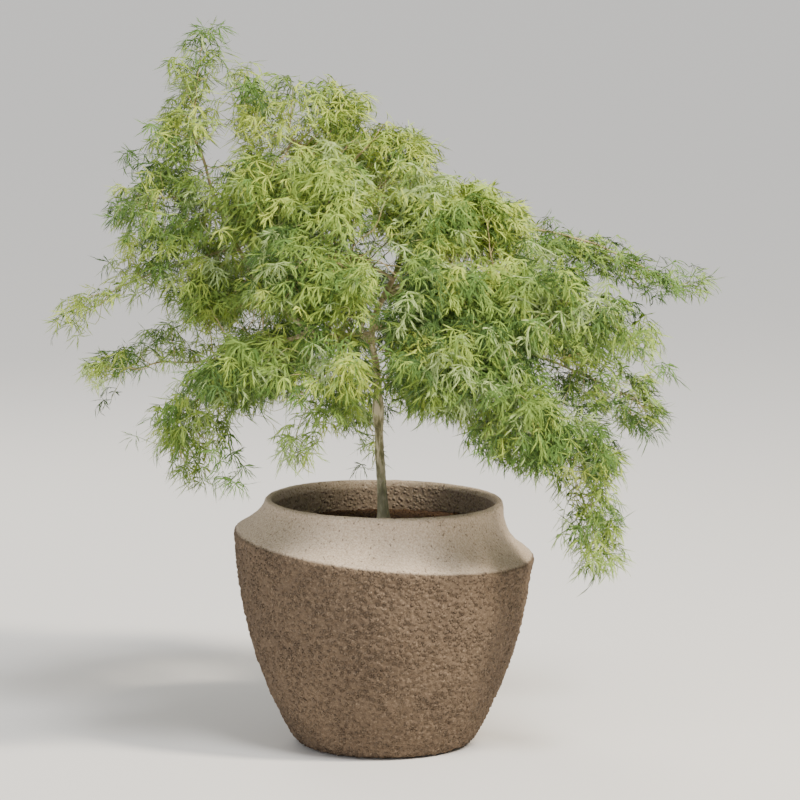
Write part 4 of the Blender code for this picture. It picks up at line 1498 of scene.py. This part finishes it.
leafy = np.zeros(len(points), bool)
leafy[[leaf.twig for leaf in leaves]] = True
for index in range(len(points) - 1, -1, -1):
    if is_twig[index] and leafy[index]:
        leafy[parents[index]] = True
grown = np.flatnonzero(is_twig & leafy)
step = np.arange(TWIG_SIDES)
following = (step + 1) % TWIG_SIDES
base = parents[grown][:, None] * TWIG_SIDES
top = grown[:, None] * TWIG_SIDES
bands = np.concatenate([
    np.stack([base + step, base + following, top + following], axis=-1).reshape(-1, 3),
    np.stack([base + step, top + following, top + step], axis=-1).reshape(-1, 3)])
age = np.digitize(radii[grown], [NEW_TWIG, YOUNG_TWIG])
twigs = mesh_piece("maple_twigs", rings.reshape(-1, 3), bands,
                   [new_material(name, tone, dullness)[0] for name, tone, dullness in TWIG_TONES],
                   np.tile(np.repeat(age, TWIG_SIDES), 2))
hand_in(twigs, [mass.node for mass in masses])

# %% Outline of one lobe, and of the small lobes next to the stalk
# A lobe is one strip of triangles whose points change sides. Along is a share of its length,
# across is in millimetres on a blade of 4.5 cm. A tooth is one long triangle: it starts
# between two points on the same edge of the strip, and its own point lies further on.
LOBE_STRIP = ((0.0, -0.36), (0.0, 0.36), (0.22, -0.60), (0.38, 0.77), (0.34, -0.73), (0.50, 0.79),
              (0.56, -0.75), (0.72, 0.61), (0.68, -0.65), (0.84, 0.43), (1.0, 0.0))
LOBE_TEETH = ((2, 0.55, -3.9), (3, 0.72, 4.1), (6, 0.88, -3.0))    # where it starts, along, across
SMALL_STRIP = ((0.0, -0.36), (0.0, 0.36), (0.45, -0.66), (0.62, 0.63), (1.0, 0.0))
SMALL_TEETH = ((1, 0.88, 2.7),)
BLADE_STANDARD = 4.5


def lobe_outline(strip, teeth):
    """Points (along, across) and triangles of a flat lobe with forward-pointing teeth."""
    faces = []
    for number in range(len(strip) - 2):
        corners = (number, number + 1, number + 2)
        faces.append(corners if number % 2 else corners[::-1])
    for number, (start, along, across) in enumerate(teeth):
        corners = (start, start + 2, len(strip) + number)
        faces.append(corners if across > 0 else corners[::-1])
    spots = list(strip) + [(along, across) for _, along, across in teeth]
    return np.array(spots), np.array(faces)


def mirrored(outline):
    spots, faces = outline
    return spots * [1, -1], faces[:, ::-1]


BIG_LOBE = lobe_outline(LOBE_STRIP, LOBE_TEETH)
SMALL_LOBE = lobe_outline(SMALL_STRIP, SMALL_TEETH)
# angle from the middle lobe (degrees), share of the blade's length, outline
LOBES = ((0, 1.0, BIG_LOBE), (29, 0.97, BIG_LOBE), (-29, 0.97, mirrored(BIG_LOBE)),
         (60, 0.84, BIG_LOBE), (-60, 0.84, mirrored(BIG_LOBE)),
         (97, 0.50, SMALL_LOBE), (-97, 0.50, mirrored(SMALL_LOBE)))
STALK_SIDES = 3
STALK_RINGS = ((0.0, 0.55), (1.0, 0.42))    # place along the stalk, radius in mm
print("faces in a leaf", sum(len(lobe[2][1]) for lobe in LOBES) + 2 * STALK_SIDES)

# %% How the lobes vary
LOBE_CUP = 0.12         # how far the lobes rise out of the blade's plane before they bend over
SWING = 10.0            # degrees by which a lobe's angle varies
LOBE_SIZES = (0.78, 1.12)
BEND_SIZES = (0.3, 1.9)
LOBE_ROLL = 0.35        # radians by which a lobe is turned about its length
LOBE_TWIST = 0.5        # and wrung from foot to tip
SIDE_CURVE = 0.42       # how far a lobe's tip swings sideways, as a share of its length
STEEPEST = math.radians(86)
NOT_UPRIGHT = 0.995     # a lobe that starts straight up or down has no heading, so none quite does


def column(leaves, name):
    values = [getattr(leaf, name) for leaf in leaves]
    return np.array([value[:] if isinstance(value, Vector) else value for value in values], dtype=float)


def square_to(level, slope):
    """Upward unit vectors square to a line that heads level and rises by slope."""
    return np.stack([-level[:, 0, None] * np.sin(slope), -level[:, 1, None] * np.sin(slope),
                     np.cos(slope)], axis=2)


print("mean blade", round(column(leaves, "size").mean(), 2), "cm")


# %% Bend one lobe of every leaf
def bent_lobes(leaves, angle, share, outline, chance):
    """Points of one lobe of every leaf, as an array of leaves by points by 3."""
    spots, _ = outline
    foot, ahead, upper = [column(leaves, name) for name in ("foot", "ahead", "upper")]
    size, bend = column(leaves, "size"), column(leaves, "bend")
    count = len(leaves)
    # where each lobe starts to, how long it is and how fast it bends over
    turn = np.radians(angle + chance.normal(0, SWING, count))[:, None]
    right = np.cross(ahead, upper)
    start = unit(ahead * np.cos(turn) + right * np.sin(turn) + upper * LOBE_CUP)
    length = size * share * chance.uniform(*LOBE_SIZES, count) * CM
    bend = bend * chance.uniform(*BEND_SIZES, count) / CM
    rise = np.arcsin(np.clip(start[:, 2], -NOT_UPRIGHT, NOT_UPRIGHT))
    bend = np.minimum(bend, (rise + STEEPEST) / length)
    bend = np.where(np.abs(bend) < 1, 1, bend)
    level = unit(start * [1, 1, 0])
    # how its width is turned at each point: as the blade is, then by chance
    width_way = unit(np.cross(upper, start))
    flat = np.stack([-level[:, 1], level[:, 0], np.zeros(count)], axis=1)
    flat_share = (width_way * flat).sum(axis=1)
    stand_share = (width_way * square_to(level, rise[:, None])[:, 0]).sum(axis=1)
    roll = np.arctan2(stand_share, flat_share)[:, None] + chance.normal(0, LOBE_ROLL, count)[:, None]
    roll = roll + spots[None, :, 0] * chance.normal(0, LOBE_TWIST, count)[:, None]
    # its spine is an arc whose slope falls evenly
    run = spots[None, :, 0] * length[:, None]
    slope = rise[:, None] - bend[:, None] * run
    out = (np.sin(rise)[:, None] - np.sin(slope)) / bend[:, None]
    drop = (np.cos(slope) - np.cos(rise)[:, None]) / bend[:, None]
    spine = foot[:, None] + level[:, None] * out[..., None]
    spine[..., 2] += drop
    # the outline's points lie across the spine, and the tip swings to one side
    swing = chance.normal(0, SIDE_CURVE, count)[:, None] * length[:, None]
    across = spots[None, :, 1] * (size / BLADE_STANDARD)[:, None] * MM
    across = across + swing * spots[None, :, 0] ** 2
    stand = square_to(level, slope)
    edge = flat[:, None] * np.cos(roll)[..., None] + stand * np.sin(roll)[..., None]
    return spine + edge * across[..., None]


print("points of a long lobe", len(BIG_LOBE[0]), "and of a small one", len(SMALL_LOBE[0]))


# %% Stalks, and all arrays of a list of leaves
def stalks(leaves):
    """Thin three-sided stalks, straight from the twig to the blade."""
    root, foot = column(leaves, "root"), column(leaves, "foot")
    way = unit(foot - root)
    side = unit(np.cross(way, np.where(np.abs(way[:, 2:]) > 0.9, [[1.0, 0, 0]], [[0, 0, 1.0]])))
    other = np.cross(way, side)
    rings = []
    for place, radius in STALK_RINGS:
        centre = root + (foot - root) * place
        for corner in range(STALK_SIDES):
            angle = 2 * math.pi * corner / STALK_SIDES
            rings.append(centre + (side * math.cos(angle) + other * math.sin(angle)) * radius * MM)
    return np.stack(rings, axis=1)


def stalk_faces():
    faces = []
    for ring in range(len(STALK_RINGS) - 1):
        for corner in range(STALK_SIDES):
            here = ring * STALK_SIDES + corner
            beside = ring * STALK_SIDES + (corner + 1) % STALK_SIDES
            faces += [(here, beside, beside + STALK_SIDES), (here, beside + STALK_SIDES, here + STALK_SIDES)]
    return np.array(faces)


def leaf_arrays(leaves, chance):
    """Points, faces and shade of each face for a list of leaves."""
    parts = [stalks(leaves)]
    faces = [stalk_faces()]
    filled = parts[0].shape[1]
    for angle, share, outline in LOBES:
        lobe = bent_lobes(leaves, angle, share, outline, chance)
        parts.append(lobe)
        faces.append(outline[1] + filled)
        filled += lobe.shape[1]
    spots = np.concatenate(parts, axis=1)
    faces = np.concatenate(faces)
    starts = np.arange(len(leaves)) * filled
    all_faces = (faces[None] + starts[:, None, None]).reshape(-1, 3)
    shades = np.repeat([leaf.shade for leaf in leaves], len(faces))
    return spots.reshape(-1, 3), all_faces, shades


print("faces of a stalk", len(stalk_faces()))

# %% One mesh of leaves for each part of the crown
MOST_TRIANGLES = 195_000
chance = np.random.default_rng(77)
for habit, row in HABITS.items():
    own = [leaf for leaf in leaves if masses[leaf.mass].name in row[0]]
    spots, faces, shades = leaf_arrays(own, chance)
    assert len(faces) < MOST_TRIANGLES, (habit, len(faces))
    piece = mesh_piece(habit + "_leaves", spots, faces, leaf_materials, shades)
    hand_in(piece, ["foliage_" + name for name in row[0]])
